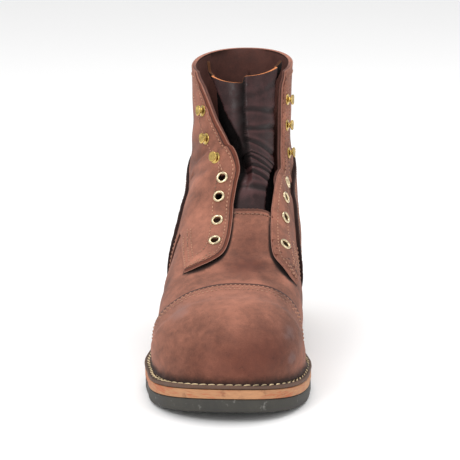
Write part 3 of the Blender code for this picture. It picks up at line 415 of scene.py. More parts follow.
def build_form(rows=511, shares=161):
    """Grid of points and outward normals on the last, rows by shares from -1 to 1."""
    row_values = np.linspace(0.0, COLLAR_ROW, rows)
    columns = ring_columns(row_values)
    grid = np.zeros((rows, 2 * shares - 1, 3))
    t = 0.5 - 0.5 * np.cos(np.linspace(0.0, math.pi, 321))
    for side in (-1, 1):
        for i, row in enumerate(row_values):
            ridge_s, ridge_z, end_s, end_z, outer, inner = [c[i] for c in columns[:6]]
            widest, full, lean, tail, tuck = [c[i] for c in columns[6:]]
            half = outer if side < 0 else inner
            ridge = lean * BALL_WIDTH * side
            on_edge = row < HEEL_BACK_ROW
            if on_edge:
                end_z = float(flange_top(end_s))
            end_half = float(feather_half(end_s, side)) if on_edge else 0.0
            top = superellipse(t / widest, full)
            if widest >= 1.0:
                across = ridge + (end_half - ridge) * top / superellipse(1.0 / widest, full)
            else:
                low = np.clip((t - widest) / (1.0 - widest), 0.0, 1.0)
                lower = end_half + (half - end_half) * (1.0 - low ** tail) ** (1.0 / tuck)
                across = np.where(t < widest, ridge + (half - ridge) * top, lower)
            station = ridge_s + (end_s - ridge_s) * t
            height = ridge_z + (end_z - ridge_z) * t
            line = np.stack([across * side, SOLE_LENGTH / 2 - station, height], axis=1)
            run = run_along(line)
            even = at_distances(line, run, np.linspace(0.0, run[-1], shares))
            if side < 0:
                grid[i, :shares] = even[::-1]
            else:
                grid[i, shares - 1:] = even
    middle = shares - 1
    grid[:, middle, 0] = 0.5 * (grid[:, middle - 1, 0] + grid[:, middle + 1, 0])
    grid = soften_toe(round_over(grid))
    normal = unit(np.cross(np.gradient(grid, axis=1), np.gradient(grid, axis=0)))
    back = int(math.ceil(HEEL_BACK_ROW / COLLAR_ROW * (rows - 1)))
    seam = normal[back:, 0] + normal[back:, -1]
    seam[:, 0] = 0.0
    normal[back:, 0] = normal[back:, -1] = unit(seam)
    return grid, level_near_edge(grid, normal)


def round_over(grid):
    """Smooth the grid from row to row where the shaft grows out of the foot, but not at its edges."""
    rows, shares = grid.shape[:2]
    reach = int(round(0.8 * (rows - 1) / COLLAR_ROW))
    padded = np.concatenate([grid[:1]] * reach + [grid] + [grid[-1:]] * reach)
    weights = [math.exp(-(1.6 * k / reach) ** 2) for k in range(-reach, reach + 1)]
    smoothed = sum(padded[k:k + rows] * weight for k, weight in enumerate(weights)) / sum(weights)
    row = np.linspace(0.0, COLLAR_ROW, rows)
    start, full, fade, end = SMOOTHED_ROWS
    along = ease((row - start) / (full - start)) * (1.0 - ease((row - fade) / (end - fade)))
    from_edge = (1.0 - np.abs(np.linspace(-1.0, 1.0, shares))) * HALF_GIRTH
    share = along[:, None] * ease(from_edge / SMOOTHED_REACH)[None]
    return grid + (smoothed - grid) * share[:, :, None]


def soften_toe(grid):
    """Smooth the corners of the toe both ways, but not at the last's edge."""
    rows, shares = grid.shape[:2]
    near = int(round(4.0 * (rows - 1) / COLLAR_ROW))
    soft = grid[:near].copy()
    for _ in range(70):
        soft[1:-1] = 0.25 * (soft[:-2] + soft[2:]) + 0.5 * soft[1:-1]
        soft[:, 1:-1] = 0.25 * (soft[:, :-2] + soft[:, 2:]) + 0.5 * soft[:, 1:-1]
    row = np.linspace(0.0, COLLAR_ROW, rows)[:near]
    from_edge = (1.0 - np.abs(np.linspace(-1.0, 1.0, shares))) * HALF_GIRTH
    along = ease(row * ROW_STEP / 5.0) * (1.0 - ease((row - 1.8) / 1.4))
    share = along[:, None] * ease(from_edge / 5.0)[None]
    result = grid.copy()
    result[:near] += (soft - grid[:near]) * share[:, :, None]
    return result


def feather_loop(grid):
    """Points of the last's edge in order: heel back, inner side, toe, outer side."""
    rows = int(round(HEEL_BACK_ROW / COLLAR_ROW * (grid.shape[0] - 1)))
    return np.concatenate([grid[rows:0:-1, -1], grid[0, ::-1], grid[1:rows, 0]])


def loop_normals(loop):
    """Level outward directions of a closed loop seen from above."""
    ahead = np.roll(loop, -2, axis=0) - np.roll(loop, 2, axis=0)
    outward = np.stack([-ahead[:, 1], ahead[:, 0], np.zeros(len(loop))], axis=1)
    if (outward[:, :2] * (loop[:, :2] - loop[:, :2].mean(axis=0))).sum() < 0.0:
        outward = -outward
    return unit(outward)


def even_loop(loop, count):
    """A closed loop resampled at even steps."""
    closed = np.concatenate([loop, loop[:1]])
    run = run_along(closed)
    return at_distances(closed, run, np.linspace(0.0, run[-1], count, endpoint=False))


def level_near_edge(grid, normal, height=14.0):
    """Turn the normals level where the wall meets the sole and round the heel's back."""
    loop = even_loop(feather_loop(grid), 300)
    outward = loop_normals(loop)
    floor = flange_at(grid[:, :, 1])
    row = np.linspace(0.0, COLLAR_ROW, grid.shape[0])
    side = np.abs(np.linspace(-1.0, 1.0, grid.shape[1]))
    mixed = np.empty_like(normal)
    for i in range(grid.shape[0]):
        near = np.linalg.norm(grid[i, :, None, :2] - loop[None, :, :2], axis=2)
        nearest = near.argmin(axis=1)
        share = ease((grid[i, :, 2] - floor[i]) / height)
        share = np.maximum(share, ease(near.min(axis=1) / height - 0.3))
        at_heel = (1.0 - ease((abs(row[i] - HEEL_BACK_ROW) - 0.6) / 1.6)) * ease((side - 0.70) / 0.16)
        share = (share * (1.0 - at_heel))[:, None]
        mixed[i] = outward[nearest] * (1.0 - share) + normal[i] * share
    return unit(mixed)


FORM, FORM_NORMAL = build_form()


def at_places(rows, shares):
    """Points and outward normals on the last at arrays of rows and shares."""
    rows = np.asarray(rows, dtype=float)
    shares = np.clip(np.asarray(shares, dtype=float), -1.0, 1.0)
    over = np.maximum(0.0, rows - COLLAR_ROW)
    fi = np.clip(rows, 0.0, COLLAR_ROW) / COLLAR_ROW * (FORM.shape[0] - 1)
    fj = (shares + 1.0) / 2.0 * (FORM.shape[1] - 1)
    i = np.minimum(fi.astype(int), FORM.shape[0] - 2)
    j = np.minimum(fj.astype(int), FORM.shape[1] - 2)
    u = (fi - i)[:, None]
    v = (fj - j)[:, None]
    out = []
    for grid in (FORM, FORM_NORMAL):
        low = grid[i, j] * (1 - v) + grid[i, j + 1] * v
        high = grid[i + 1, j] * (1 - v) + grid[i + 1, j + 1] * v
        out.append(low * (1 - u) + high * u)
    point, normal = out
    step = int(round((FORM.shape[0] - 1) / COLLAR_ROW))
    rise = FORM[-1, j] - FORM[-1 - step, j]
    return point + rise * over[:, None], unit(normal)


def flange_width(station, side):
    """Width of the turned-out edge beyond the last."""
    column = 1 if side < 0 else 2
    return float(smooth([r[0] for r in FLANGE], [r[column] for r in FLANGE], station / SOLE_LENGTH))


def flat(row, share):
    """A place on the last as flat millimetres."""
    return (row * ROW_STEP, share * HALF_GIRTH)


def places_of(points):
    """Rows and shares of flat points."""
    return points[:, 0] / ROW_STEP, points[:, 1] / HALF_GIRTH


def spaced(points, step):
    """Points every step or so along a smooth curve through the given points."""
    points = np.asarray(points, dtype=float)
    steps = np.maximum(np.linalg.norm(np.diff(points, axis=0), axis=1), TINY)
    run = np.concatenate([[0.0], np.cumsum(steps)])
    wanted = np.linspace(0.0, run[-1], max(int(round(run[-1] / step)), 1) + 1)
    return np.stack([smooth(run, points[:, k], wanted) for k in range(points.shape[1])], axis=1)


def line_through(places, step):
    """Places given as rows and shares as evenly spaced flat points."""
    return spaced([flat(row, share) for row, share in places], step)


def table_line(table, column, step):
    """One column of a panel edge as evenly spaced flat points."""
    return line_through([(row[0], row[column]) for row in table], step)


def inside(points, loop):
    """Which flat points lie in a closed loop."""
    result = np.zeros(len(points), dtype=bool)
    x, y = points[:, 0], points[:, 1]
    for (ax, ay), (bx, by) in zip(loop, np.roll(loop, -1, axis=0)):
        if ay == by:
            continue
        crosses = (ay > y) != (by > y)
        result ^= crosses & (x < (bx - ax) * (y - ay) / (by - ay) + ax)
    return result


def distance_to(points, line, closed=False):
    """Distance in the flat map from points to a line of flat points."""
    line = np.asarray(line, dtype=float)
    ends = np.roll(line, -1, axis=0) if closed else line[1:]
    starts = line if closed else line[:-1]
    best = np.full(len(points), 1e9)
    for a, b in zip(starts, ends):
        along = b - a
        t = np.clip(((points - a) @ along) / max(along @ along, TINY), 0.0, 1.0)
        best = np.minimum(best, np.hypot(*(points - a - t[:, None] * along).T))
    return best


def flat_mesh(loop, step, holes=(), lines=()):
    """Flat points and triangles inside a loop and outside its holes, with lines as edges."""
    points = []
    edges = []
    paths = [(path, True) for path in (loop, *holes)] + [(line, False) for line in lines]
    for path, closed in paths:
        first = len(points)
        points += [tuple(p) for p in path]
        count = len(path)
        edges += [(first + k, first + (k + 1) % count) for k in range(count if closed else count - 1)]
    fixed = np.array(points)
    low, high = fixed.min(axis=0), fixed.max(axis=0)
    across, along = np.meshgrid(np.arange(low[1], high[1], step), np.arange(low[0], high[0], step * 0.87))
    shift = (np.arange(len(along)) % 2)[:, None] * step / 2
    grid = np.stack([along.ravel(), (across + shift).ravel()], axis=1)
    grid = grid[inside(grid, np.asarray(loop))]
    for hole in holes:
        grid = grid[~inside(grid, np.asarray(hole))]
    cell = {}
    for p in fixed:
        cell.setdefault((int(p[0] // step), int(p[1] // step)), []).append(p)
    for p in grid:
        ci, cj = int(p[0] // step), int(p[1] // step)
        near = [q for a in (-1, 0, 1) for b in (-1, 0, 1) for q in cell.get((ci + a, cj + b), ())]
        if all(abs(q[0] - p[0]) + abs(q[1] - p[1]) > 0.62 * step for q in near):
            points.append(tuple(p))
    found = delaunay_2d_cdt([Vector(p) for p in points], edges, [], 0, 1e-4)
    verts = np.array([tuple(v) for v in found[0]])
    faces = np.array([tuple(f) for f in found[2]])
    middle = verts[faces].mean(axis=1)
    keep = inside(middle, np.asarray(loop))
    for hole in holes:
        keep &= ~inside(middle, np.asarray(hole))
    faces = faces[keep]
    a, b, c = verts[faces[:, 0]], verts[faces[:, 1]], verts[faces[:, 2]]
    turn = (b[:, 0] - a[:, 0]) * (c[:, 1] - a[:, 1]) - (b[:, 1] - a[:, 1]) * (c[:, 0] - a[:, 0])
    faces[turn < 0] = faces[turn < 0][:, ::-1]
    faces = faces[np.abs(turn) > 1e-4]
    used = np.unique(faces)
    index = np.full(len(verts), -1)
    index[used] = np.arange(len(used))
    return verts[used], index[faces]


# Leather on the last

FLARE = 2.4
FLARE_HEIGHT = 6.5
EDGE_SINK = 0.3
FOLD_HALF = 0.009
LAYER_SHOWS = 1.4
# The photo's camera: place in metres, turn and pitch in degrees, lens in millimetres, and the
# direction to the boot's middle in its own view
PHOTO_PLACE = (0.1030, -1.3842, 0.4010)
PHOTO_TURN = 2.0
PHOTO_PITCH = 11.26
PHOTO_LENS = 157.1
BOOT_ASIDE = (-0.0406, -0.0229, -1.0)
UNDER_FLAP_ROW = 6.9
EYELET_HOLE = 2.9
VAMP_BACK = (
    # row, share
    (7.25, -1.00),
    (7.90, -0.72),
    (7.90, -0.36),
    (7.55, -0.20),
    (7.22, -0.11),
    (7.16, 0.00),
    (7.20, 0.10),
    (7.24, 0.18),
    (7.60, 0.26),
    (7.90, 0.40),
    (7.90, 0.72),
    (7.25, 1.00),
)
# Patches that wear, dirt and grey scuffs have left, and patches of painted highlight and painted shade,
# placed one by one
PATCHES = (
    # row, share, half length, half width, darker, lighter, greyer
    # painted shade on the toe cap's lower front
    (0.9, 0.05, 18.0, 48.0, 0.85, 0.0, 0.00),
    (1.9, 0.30, 14.0, 26.0, 0.45, 0.0, 0.00),
    # painted highlight along the toe cap's outer side
    (2.4, -0.72, 26.0, 9.0, 0.00, 0.9, 0.00),
    (3.3, -0.20, 9.0, 34.0, 0.00, 0.6, 0.10),
    (3.0, -0.38, 6.0, 8.0, 0.00, 0.3, 0.55),
    (1.6, 0.52, 5.0, 7.0, 0.00, 0.0, 0.70),
    (2.5, 0.42, 6.0, 8.0, 0.00, 0.0, 0.55),
    (2.5, 0.60, 6.0, 5.0, 0.00, 0.0, 0.45),
    (4.7, 0.10, 5.0, 40.0, 0.00, 0.1, 0.00),
    (5.1, 0.02, 7.0, 20.0, 0.80, 0.0, 0.00),
    (4.9, 0.33, 5.0, 9.0, 0.00, 0.6, 0.00),
    (2.6, 0.05, 12.0, 40.0, 0.00, 0.35, 0.00),
    (6.1, 0.02, 9.0, 16.0, 0.45, 0.0, 0.00),
    (7.0, -0.25, 14.0, 10.0, 0.00, 0.5, 0.00),
    (5.5, -0.30, 5.0, 12.0, 0.00, 0.7, 0.00),
    # painted light on the quarter's outer side
    (9.0, -0.30, 24.0, 20.0, 0.00, 0.7, 0.00),
    (12.5, -0.25, 16.0, 12.0, 0.30, 0.0, 0.00),
    (15.0, -0.45, 20.0, 30.0, 0.25, 0.1, 0.00),
    # painted light on the outer side towards the back, with grey scuffs
    (10.5, -0.75, 26.0, 22.0, 0.00, 0.4, 0.15),
    # painted shade on the inner side, with grey scuffs
    (9.0, 0.70, 24.0, 20.0, 0.25, 0.0, 0.10),
    (13.5, 0.75, 26.0, 22.0, 0.00, 0.4, 0.10),
    # painted shade on the inner side by the back seam, with grey scuffs
    (11.5, 0.95, 14.0, 12.0, 0.40, 0.0, 0.20),
)


def detail(step):
    """Mesh step, coarser for a quick look."""
    return step


def share_of(table, column, rows):
    """Share of a panel edge at given rows, from a table whose rows fall or rise."""
    at = np.array([row[0] for row in table])
    value = np.array([row[column] for row in table])
    order = at.argsort()
    return np.interp(rows, at[order], value[order])


def crease_field(points, table):
    """Height of creases placed by hand: soft troughs, each with a low ridge beside it."""
    total = np.zeros(len(points))
    for row_a, share_a, row_b, share_b, half, depth in table:
        away = distance_to(points, [flat(row_a, share_a), flat(row_b, share_b)])
        total -= depth * bell(away / half)
        total += 0.4 * depth * bell((away - 2.0 * half) / half)
    return total


def hand_made(points, amount):
    """Slow unevenness of hand-lasted leather."""
    x, y = points[:, 0], points[:, 1]
    slow = np.sin(x / 21.0 + 1.0) * np.sin(y / 17.0 + 2.0)
    quick = np.sin(x / 9.0 + y / 13.0 + 0.7) * np.sin(y / 8.0 - x / 15.0 + 1.9)
    return amount * (slow + 0.5 * quick)


def stitched_down(rim, row, depth=0.28):
    """How a stitched edge is drawn down along its stitch row and rounded at its rim."""
    return -0.25 * bell(rim / 0.7) - depth * bell((rim - row) / 1.1)


def flap_lines(column, step):
    """The quarter's free edge on one side: round the flap and up the facing."""
    front = table_line(QUARTER_FRONT, column, step)[::-1]
    back = table_line(FLAP_BACK, column, step)[::-1]
    flap = table_line(FLAP_EDGE, column, step)[::-1]
    facing = table_line(FACING, column, step)[::-1]
    return front, back, flap, facing


def raised_edge(column, step):
    """The flap's lower edge and the facing as one line."""
    _, _, flap, facing = flap_lines(column, step)
    return np.concatenate([flap, facing[1:]])


def free_edge(column, step):
    """The quarter's whole free edge on one side as one line."""
    front, back, flap, facing = flap_lines(column, step)
    return np.concatenate([front, back[1:], flap[1:], facing[1:]])


LAYERED_EDGES = [raised_edge(column, 1.0) for column, _ in SIDES]
FREE_EDGES = [free_edge(column, 2.0) for column, _ in SIDES]
CAP_LINE = line_through(CAP_EDGE, 2.0)
COUNTER_LINES = [table_line(COUNTER_EDGE, column, 2.0) for column, _ in SIDES]


def nearest(points, lines):
    """Distance to the nearer of two lines in flat millimetres."""
    return np.minimum(distance_to(points, lines[0]), distance_to(points, lines[1]))


def flap_lift(points):
    """How far the unlaced flaps stand up off the vamp."""
    row, share = points[:, 0] / ROW_STEP, np.abs(points[:, 1]) / HALF_GIRTH
    settings = bpy.context.scene.boot
    return settings.flap_lift / MM * ease((7.3 - row) / 2.0) * (1.0 - ease((share - 0.27) / 0.15))


def vamp_height(points):
    """Height of the vamp's face over the last."""
    depth = bpy.context.scene.boot.crease_depth
    return VAMP_WALL + depth * crease_field(points, VAMP_CREASES) + hand_made(points, 0.16)


def cap_height(points):
    """Height of the toe cap's face over the last."""
    rim = distance_to(points, CAP_LINE)
    puff = 1.25 * ease((rim - 10.5) / 4.0)
    return VAMP_WALL + FIT + OVERLAY_WALL + hand_made(points, 0.12) + stitched_down(rim, 1.6, 0.22) + puff


def quarter_height(points):
    """Height of the quarters' face over the last."""
    depth = bpy.context.scene.boot.crease_depth
    rim = nearest(points, FREE_EDGES)
    field = depth * crease_field(points, QUARTER_CREASES) + hand_made(points, 0.2)
    field = field * ease((COLLAR_ROW - points[:, 0] / ROW_STEP) / 0.5 + 0.25)
    below_collar = ease((COLLAR_ROW - 0.25 - points[:, 0] / ROW_STEP) / 0.3)
    step_down = 0.9 * (1.0 - ease((nearest(points, LAYERED_EDGES) - LAYER_SHOWS) / 0.5)) * below_collar
    return HIGH_WALL + flap_lift(points) + field + stitched_down(rim, 3.7) - step_down


def counter_height(points):
    """Height of the heel counter's face over the last, with a bead along its raised edge."""
    rim = nearest(points, COUNTER_LINES)
    bead = 0.45 * bell((rim - 1.0) / 0.9) - 0.3 * bell((rim - 4.0) / 1.1)
    return HIGH_WALL + FIT + OVERLAY_WALL + hand_made(points, 0.14) + bead


def fold_share(row):
    """Where the tongue folds over itself at a row."""
    return 0.02 + 0.003 * (COLLAR_ROW - row)


def tongue_height(points):
    """Height of the tongue's face: its outer part behind the fold, sunk gussets, wrinkles."""
    row, share = places_of(points)
    fold = fold_share(row)
    higher = ease((row - THROAT_ROW - 0.3) / 2.0)
    aside = 1.0 - ease((share - fold + FOLD_HALF) / (2.0 * FOLD_HALF))
    height = -3.0 * FIT - 4.2 * aside * higher
    from_outer = (share - share_of(FACING, 1, row)) * HALF_GIRTH
    from_inner = (share_of(FACING, 2, row) - share) * HALF_GIRTH
    open_rows = 1.0 - 0.75 * ease((row - 16.2) / 0.8)
    gap = 2.0 + 3.5 * ease((15.0 - row) / 7.0)
    height = height - 7.0 * open_rows * higher * (1.0 - ease((from_outer - gap) / 3.0))
    height = height - 7.0 * open_rows * (1.0 - ease((from_inner - 1.2) / 2.2))
    depth = bpy.context.scene.boot.crease_depth
    for at, slant, half, deep in TONGUE_WRINKLES:
        level = slant + 0.3 * ease((at - 8.5) / 1.5)
        away = points[:, 0] - at * ROW_STEP - level * (points[:, 1] - 12.0)
        bent = away + 0.8 * np.sin(points[:, 1] / 5.0 + at * 2.3)
        wide = (1.0 - 0.92 * aside * ease((at - 8.3) / 1.5)) * ease((from_inner - 0.5) / 5.0)
        half = 1.35 * half
        trough = bell(bent / half)
        ridge = bell((bent - 2.1 * half) / (1.3 * half))
        height = height + 0.75 * depth * deep * wide * (0.8 * ridge - trough)
    return height + hand_made(points * 2.2, 0.12)


def leather_points(points, height):
    """Places in the flat map put on the last at a height, flared out where they meet the sole's edge."""
    base, normal = at_places(*places_of(points))
    foot = base[:, 2] - flange_at(base[:, 1])
    flare = FLARE * np.clip(1.0 - foot / FLARE_HEIGHT, 0.0, 1.0) ** 2
    out = base + normal * (height + flare)[:, None]
    floor = flange_at(out[:, 1])
    above = np.maximum(out[:, 2], floor + np.minimum(foot, 0.5) - EDGE_SINK)
    out[:, 2] = np.where(foot < 0.05, floor - EDGE_SINK, above)
    return out, normal, foot


def patch_fields(points):
    """Darker, lighter and greyer patches at places in the flat map."""
    fields = np.zeros((3, len(points)))
    for row, share, long, wide, dark, light, grey in PATCHES:
        at = flat(row, share)
        near = np.exp(-((points[:, 0] - at[0]) / long) ** 2 - ((points[:, 1] - at[1]) / wide) ** 2)
        for field, amount in zip(fields, (dark, light, grey)):
            field += amount * near
    return np.clip(fields, 0.0, 1.0)


def object_from(name, points, faces, slots, *finishes):
    """Mesh object from points in millimetres, smooth, with its materials."""
    mesh = bpy.data.meshes.new(name)
    mesh.vertices.add(len(points))
    mesh.vertices.foreach_set("co", (np.asarray(points) * MM).ravel())
    sizes = [len(part[0]) for part in faces for _ in part]
    corners = np.concatenate([np.asarray(part).ravel() for part in faces])
    mesh.loops.add(len(corners))
    mesh.loops.foreach_set("vertex_index", corners.astype(np.int32))
    mesh.polygons.add(len(sizes))
    starts = np.concatenate([[0], np.cumsum(sizes)[:-1]])
    mesh.polygons.foreach_set("loop_start", starts.astype(np.int32))
    if slots is not None:
        mesh.polygons.foreach_set("material_index", np.asarray(slots, dtype=np.int32))
    mesh.update(calc_edges=True)
    mesh.validate()
    mesh.shade_smooth()
    for finish in finishes:
        mesh.materials.append(finish_of(finish))
    made = bpy.data.objects.new(name, mesh)
    bpy.context.scene.collection.objects.link(made)
    return made


def put_attribute(mesh, name, values):
    """One number for each point of a mesh, which the materials read."""
    layer = mesh.attributes.new(name, "FLOAT", "POINT")
    layer.data.foreach_set("value", np.asarray(values, dtype=np.float32))


def border_edges(faces, count):
    """Directed edges that only one triangle has."""
    directed = np.concatenate([faces[:, [0, 1]], faces[:, [1, 2]], faces[:, [2, 0]]]).astype(np.int64)
    forward = directed[:, 0] * count + directed[:, 1]
    backward = directed[:, 1] * count + directed[:, 0]
    return directed[~np.isin(forward, backward)]


EDGE_SHAPE = (
    # share of the way to the inner face, bulge
    (0.06, 0.45),
    (0.16, 0.85),
    (0.32, 1.00),
    (0.44, 0.85),
    (0.50, 0.15),
    (0.56, 0.75),
    (0.72, 0.95),
    (0.88, 0.75),
    (0.96, 0.35),
)


def leather_shell(name, points, faces, outer, inner, bulge, finishes, rim, crease=0.0):
    """Closed leather panel between two heights over the last, with a rounded two-layer edge."""
    share = points[:, 1] / HALF_GIRTH
    seam = (np.abs(share) > 0.99999) & (points[:, 0] >= HEEL_BACK_ROW * ROW_STEP - 1e-6)
    same = {}
    index = np.arange(len(points))
    for i in np.where(seam)[0]:
        index[i] = same.setdefault(round(float(points[i, 0]), 3), i)
    faces = index[faces][:, ::-1]
    top, normal, foot = leather_points(points, outer)
    low = leather_points(points, inner)[0]
    count = len(points)
    edges = border_edges(faces, count)
    border = np.unique(edges)
    number = {v: k for k, v in enumerate(border)}
    outward = np.zeros((len(border), 3))
    for a, b in edges:
        along = top[b] - top[a]
        away = np.cross(along, normal[a] + normal[b])
        away /= max(np.linalg.norm(away), TINY)
        outward[number[a]] += away
        outward[number[b]] += away
    outward = unit(outward)
    swell = np.where(foot[border] < 0.6, 0.0, bulge)[:, None]
    rings = [top[border] * (1.0 - u) + low[border] * u + outward * swell * out for u, out in EDGE_SHAPE]
    everything = np.concatenate([top, low] + rings)
    levels = [border] + [2 * count + k * len(border) + np.arange(len(border)) for k in range(len(EDGE_SHAPE))]
    levels.append(border + count)
    a = np.array([number[v] for v in edges[:, 0]])
    b = np.array([number[v] for v in edges[:, 1]])
    strips = [np.stack([near[b], near[a], far[a], far[b]], axis=1) for near, far in zip(levels, levels[1:])]
    strips = np.concatenate(strips)
    parts = [faces, faces[:, ::-1] + count, strips]
    slots = np.concatenate([np.zeros(len(faces)), np.full(len(faces), 2), np.full(len(strips), 1)])
    made = object_from(name, everything, parts, slots, *finishes)
    mesh = made.data
    times = len(EDGE_SHAPE)
    spread = lambda values: np.concatenate([values, values] + [values[border]] * times)
    put_attribute(mesh, "foot", spread(foot))
    put_attribute(mesh, "rim", spread(rim))
    put_attribute(mesh, "crease", spread(np.broadcast_to(crease, rim.shape)))
    layer = [np.zeros(count), np.ones(count)] + [np.full(len(border), u) for u, _ in EDGE_SHAPE]
    put_attribute(mesh, "layer", np.concatenate(layer))
    for field_name, field in zip(("darker", "lighter", "greyer"), patch_fields(points)):
        put_attribute(mesh, field_name, spread(field))
    drop_loose(mesh)
    return made


def drop_loose(mesh):
    """Remove points that no face uses."""
    shape = bmesh.new()
    shape.from_mesh(mesh)
    bmesh.ops.delete(shape, geom=[v for v in shape.verts if not v.link_faces], context="VERTS")
    shape.to_mesh(mesh)
    shape.free()


def round_places(row, share, radius, count):
    """Places on the last that lie on a circle of a radius round a place."""
    rows, shares = [row + 0.05, row - 0.05, row, row], [share, share, share + 0.01, share - 0.01]
    up, down, right, left = at_places(rows, shares)[0]
    along = (up - down) / 0.1
    across = (right - left) / 0.02
    first = along / np.linalg.norm(along)
    second = np.cross(at_places([row], [share])[1][0], first)
    solve = np.linalg.pinv(np.stack([along, across], axis=1))
    places = []
    for k in range(count):
        turn = 2.0 * math.pi * k / count
        step = solve @ ((first * math.cos(turn) + second * math.sin(turn)) * radius)
        places.append(flat(row + step[0], share + step[1]))
    return np.array(places)


def moved_in(line, distance):
    """A line in the flat map moved sideways on the last by a true distance in millimetres."""
    line = np.asarray(line, dtype=float)
    rows, shares = places_of(line)
    point, normal = at_places(rows, shares)
    tangent = unit(np.gradient(point, axis=0))
    sideways = np.cross(normal, tangent) * np.broadcast_to(distance, len(line))[:, None]
    along = (at_places(rows + 0.05, shares)[0] - at_places(rows - 0.05, shares)[0]) / 0.1
    across = (at_places(rows, shares + 0.01)[0] - at_places(rows, shares - 0.01)[0]) / 0.02
    moved = []
    for k in range(len(line)):
        step = np.linalg.pinv(np.stack([along[k], across[k]], axis=1)) @ sideways[k]
        moved.append(flat(rows[k] + step[0], shares[k] + step[1]))
    return np.array(moved)


# Materials

def tone(red, green, blue):
    """Linear colour from screen values of 0 to 255."""
    made = []
    for value in (red, green, blue):
        value /= 255.0
        made.append(value / 12.92 if value <= 0.04045 else ((value + 0.055) / 1.055) ** 2.4)
    return tuple(made)


def add(tree, kind, inputs=None, **props):
    """One node with its settings; inputs are values or the sockets that feed them."""
    made = tree.nodes.new(kind)
    for key, value in props.items():
        setattr(made, key, value)
    for key, value in (inputs or {}).items():
        socket = made.inputs[key]
        if isinstance(value, bpy.types.NodeSocket):
            tree.links.new(value, socket)
        else:
            socket.default_value = value
    return made


def number(tree, operation, first, second):
    """Result of a sum on two numbers."""
    return add(tree, "ShaderNodeMath", {0: first, 1: second}, operation=operation).outputs[0]


def times(tree, first, second):
    """Product of two numbers."""
    return number(tree, "MULTIPLY", first, second)


def summed(tree, start, *parts):
    """A number with others added, each as a pair of its value and its weight."""
    for value, weight in parts:
        start = number(tree, "ADD", start, times(tree, value, weight))
    return start


def noise(tree, coords, scale, fine=2.0, rough=0.5, twist=0.0):
    """Soft cloudy pattern."""
    inputs = {"Vector": coords, "Scale": scale, "Detail": fine, "Roughness": rough, "Distortion": twist}
    return add(tree, "ShaderNodeTexNoise", inputs).outputs[0]


def slope(tree, value, low, high, start=0.0, end=1.0):
    """A value turned smoothly from one range to another."""
    inputs = {"Value": value, "From Min": low, "From Max": high, "To Min": start, "To Max": end}
    return add(tree, "ShaderNodeMapRange", inputs, interpolation_type="SMOOTHSTEP").outputs[0]


def blend(tree, share, first, second, kind="MIX"):
    """One colour over another by a share."""
    first = first if isinstance(first, bpy.types.NodeSocket) else (*first[:3], 1.0)
    second = second if isinstance(second, bpy.types.NodeSocket) else (*second[:3], 1.0)
    made = add(tree, "ShaderNodeMix", {0: share, 6: first, 7: second}, data_type="RGBA", blend_type=kind)
    return made.outputs[2]


def read(tree, name):
    """A number that the mesh carries at each point."""
    return add(tree, "ShaderNodeAttribute", attribute_name=name).outputs["Fac"]


def object_coords(tree):
    """Places on the object, in metres."""
    return add(tree, "ShaderNodeTexCoord").outputs["Object"]


def group(name, given, default, results, build):
    """A shared effect as a node group with one number in and named numbers out, made once."""
    found = bpy.data.node_groups.get(name)
    if found:
        return found
    tree = bpy.data.node_groups.new(name, "ShaderNodeTree")
    socket = tree.interface.new_socket(given, in_out="INPUT", socket_type="NodeSocketFloat")
    socket.default_value = default
    for title in results:
        tree.interface.new_socket(title, in_out="OUTPUT", socket_type="NodeSocketFloat")
    start = tree.nodes.new("NodeGroupInput")
    end = tree.nodes.new("NodeGroupOutput")
    for title, socket in build(tree, start.outputs).items():
        tree.links.new(socket, end.inputs[title])
    return tree


def use(tree, shared, inputs=None):
    """A shared effect placed in a material."""
    made = add(tree, "ShaderNodeGroup", node_tree=shared)
    for key, value in (inputs or {}).items():
        made.inputs[key].default_value = value
    return made.outputs


def nap_group():
    """Brushed nap of leather: cloudy tone, mottling and fine grain."""
    def build(tree, given):
        coords = add(tree, "ShaderNodeVectorMath", {0: object_coords(tree)}, operation="SCALE")
        tree.links.new(given["Size"], coords.inputs["Scale"])
        at = coords.outputs[0]
        cloud = noise(tree, at, 24.0, 3.0, 0.55, 0.4)
        mottle = noise(tree, at, 190.0, 4.0, 0.6, 0.3)
        fibre = noise(tree, at, 1500.0, 3.0, 0.65)
        total = summed(tree, times(tree, cloud, 0.5), (mottle, 0.3), (fibre, 0.2))
        grain = summed(tree, times(tree, mottle, 0.55), (fibre, 0.45))
        return {"Tone": total, "Mottle": mottle, "Grain": grain}

    return group("Leather nap", "Size", 1.0, ("Tone", "Mottle", "Grain"), build)


def dirt_and_shade_group():
    """Dirt that gathers low down by the sole and in specks over the leather."""
    def build(tree, given):
        coords = object_coords(tree)
        uneven = number(tree, "SUBTRACT", noise(tree, coords, 160.0, 4.0, 0.65), 0.5)
        foot = summed(tree, read(tree, "foot"), (uneven, 5.0))
        share = number(tree, "DIVIDE", foot, given["Height"])
        low = slope(tree, share, 0.15, 1.0, 1.0, 0.0)
        specks = slope(tree, noise(tree, coords, 420.0, 2.0, 0.5, 1.0), 0.66, 0.76)
        return {"Low": low, "Specks": specks}

    return group("Low dirt and shade", "Height", 6.0, ("Low", "Specks"), build)


def fresh_material(name):
    """A new material, its tree and its shader."""
    made = bpy.data.materials.new(name)
    made.use_nodes = True
    return made, made.node_tree, made.node_tree.nodes["Principled BSDF"]


def dress(tree, shader, face, rough, height, strength, depth):
    """Colour, roughness and relief of a material, with the relief's depth in millimetres."""
    tree.links.new(face, shader.inputs["Base Color"])
    tree.links.new(rough, shader.inputs["Roughness"])
    relief = add(tree, "ShaderNodeBump", {"Height": height, "Strength": strength, "Distance": depth * MM})
    tree.links.new(relief.outputs[0], shader.inputs["Normal"])


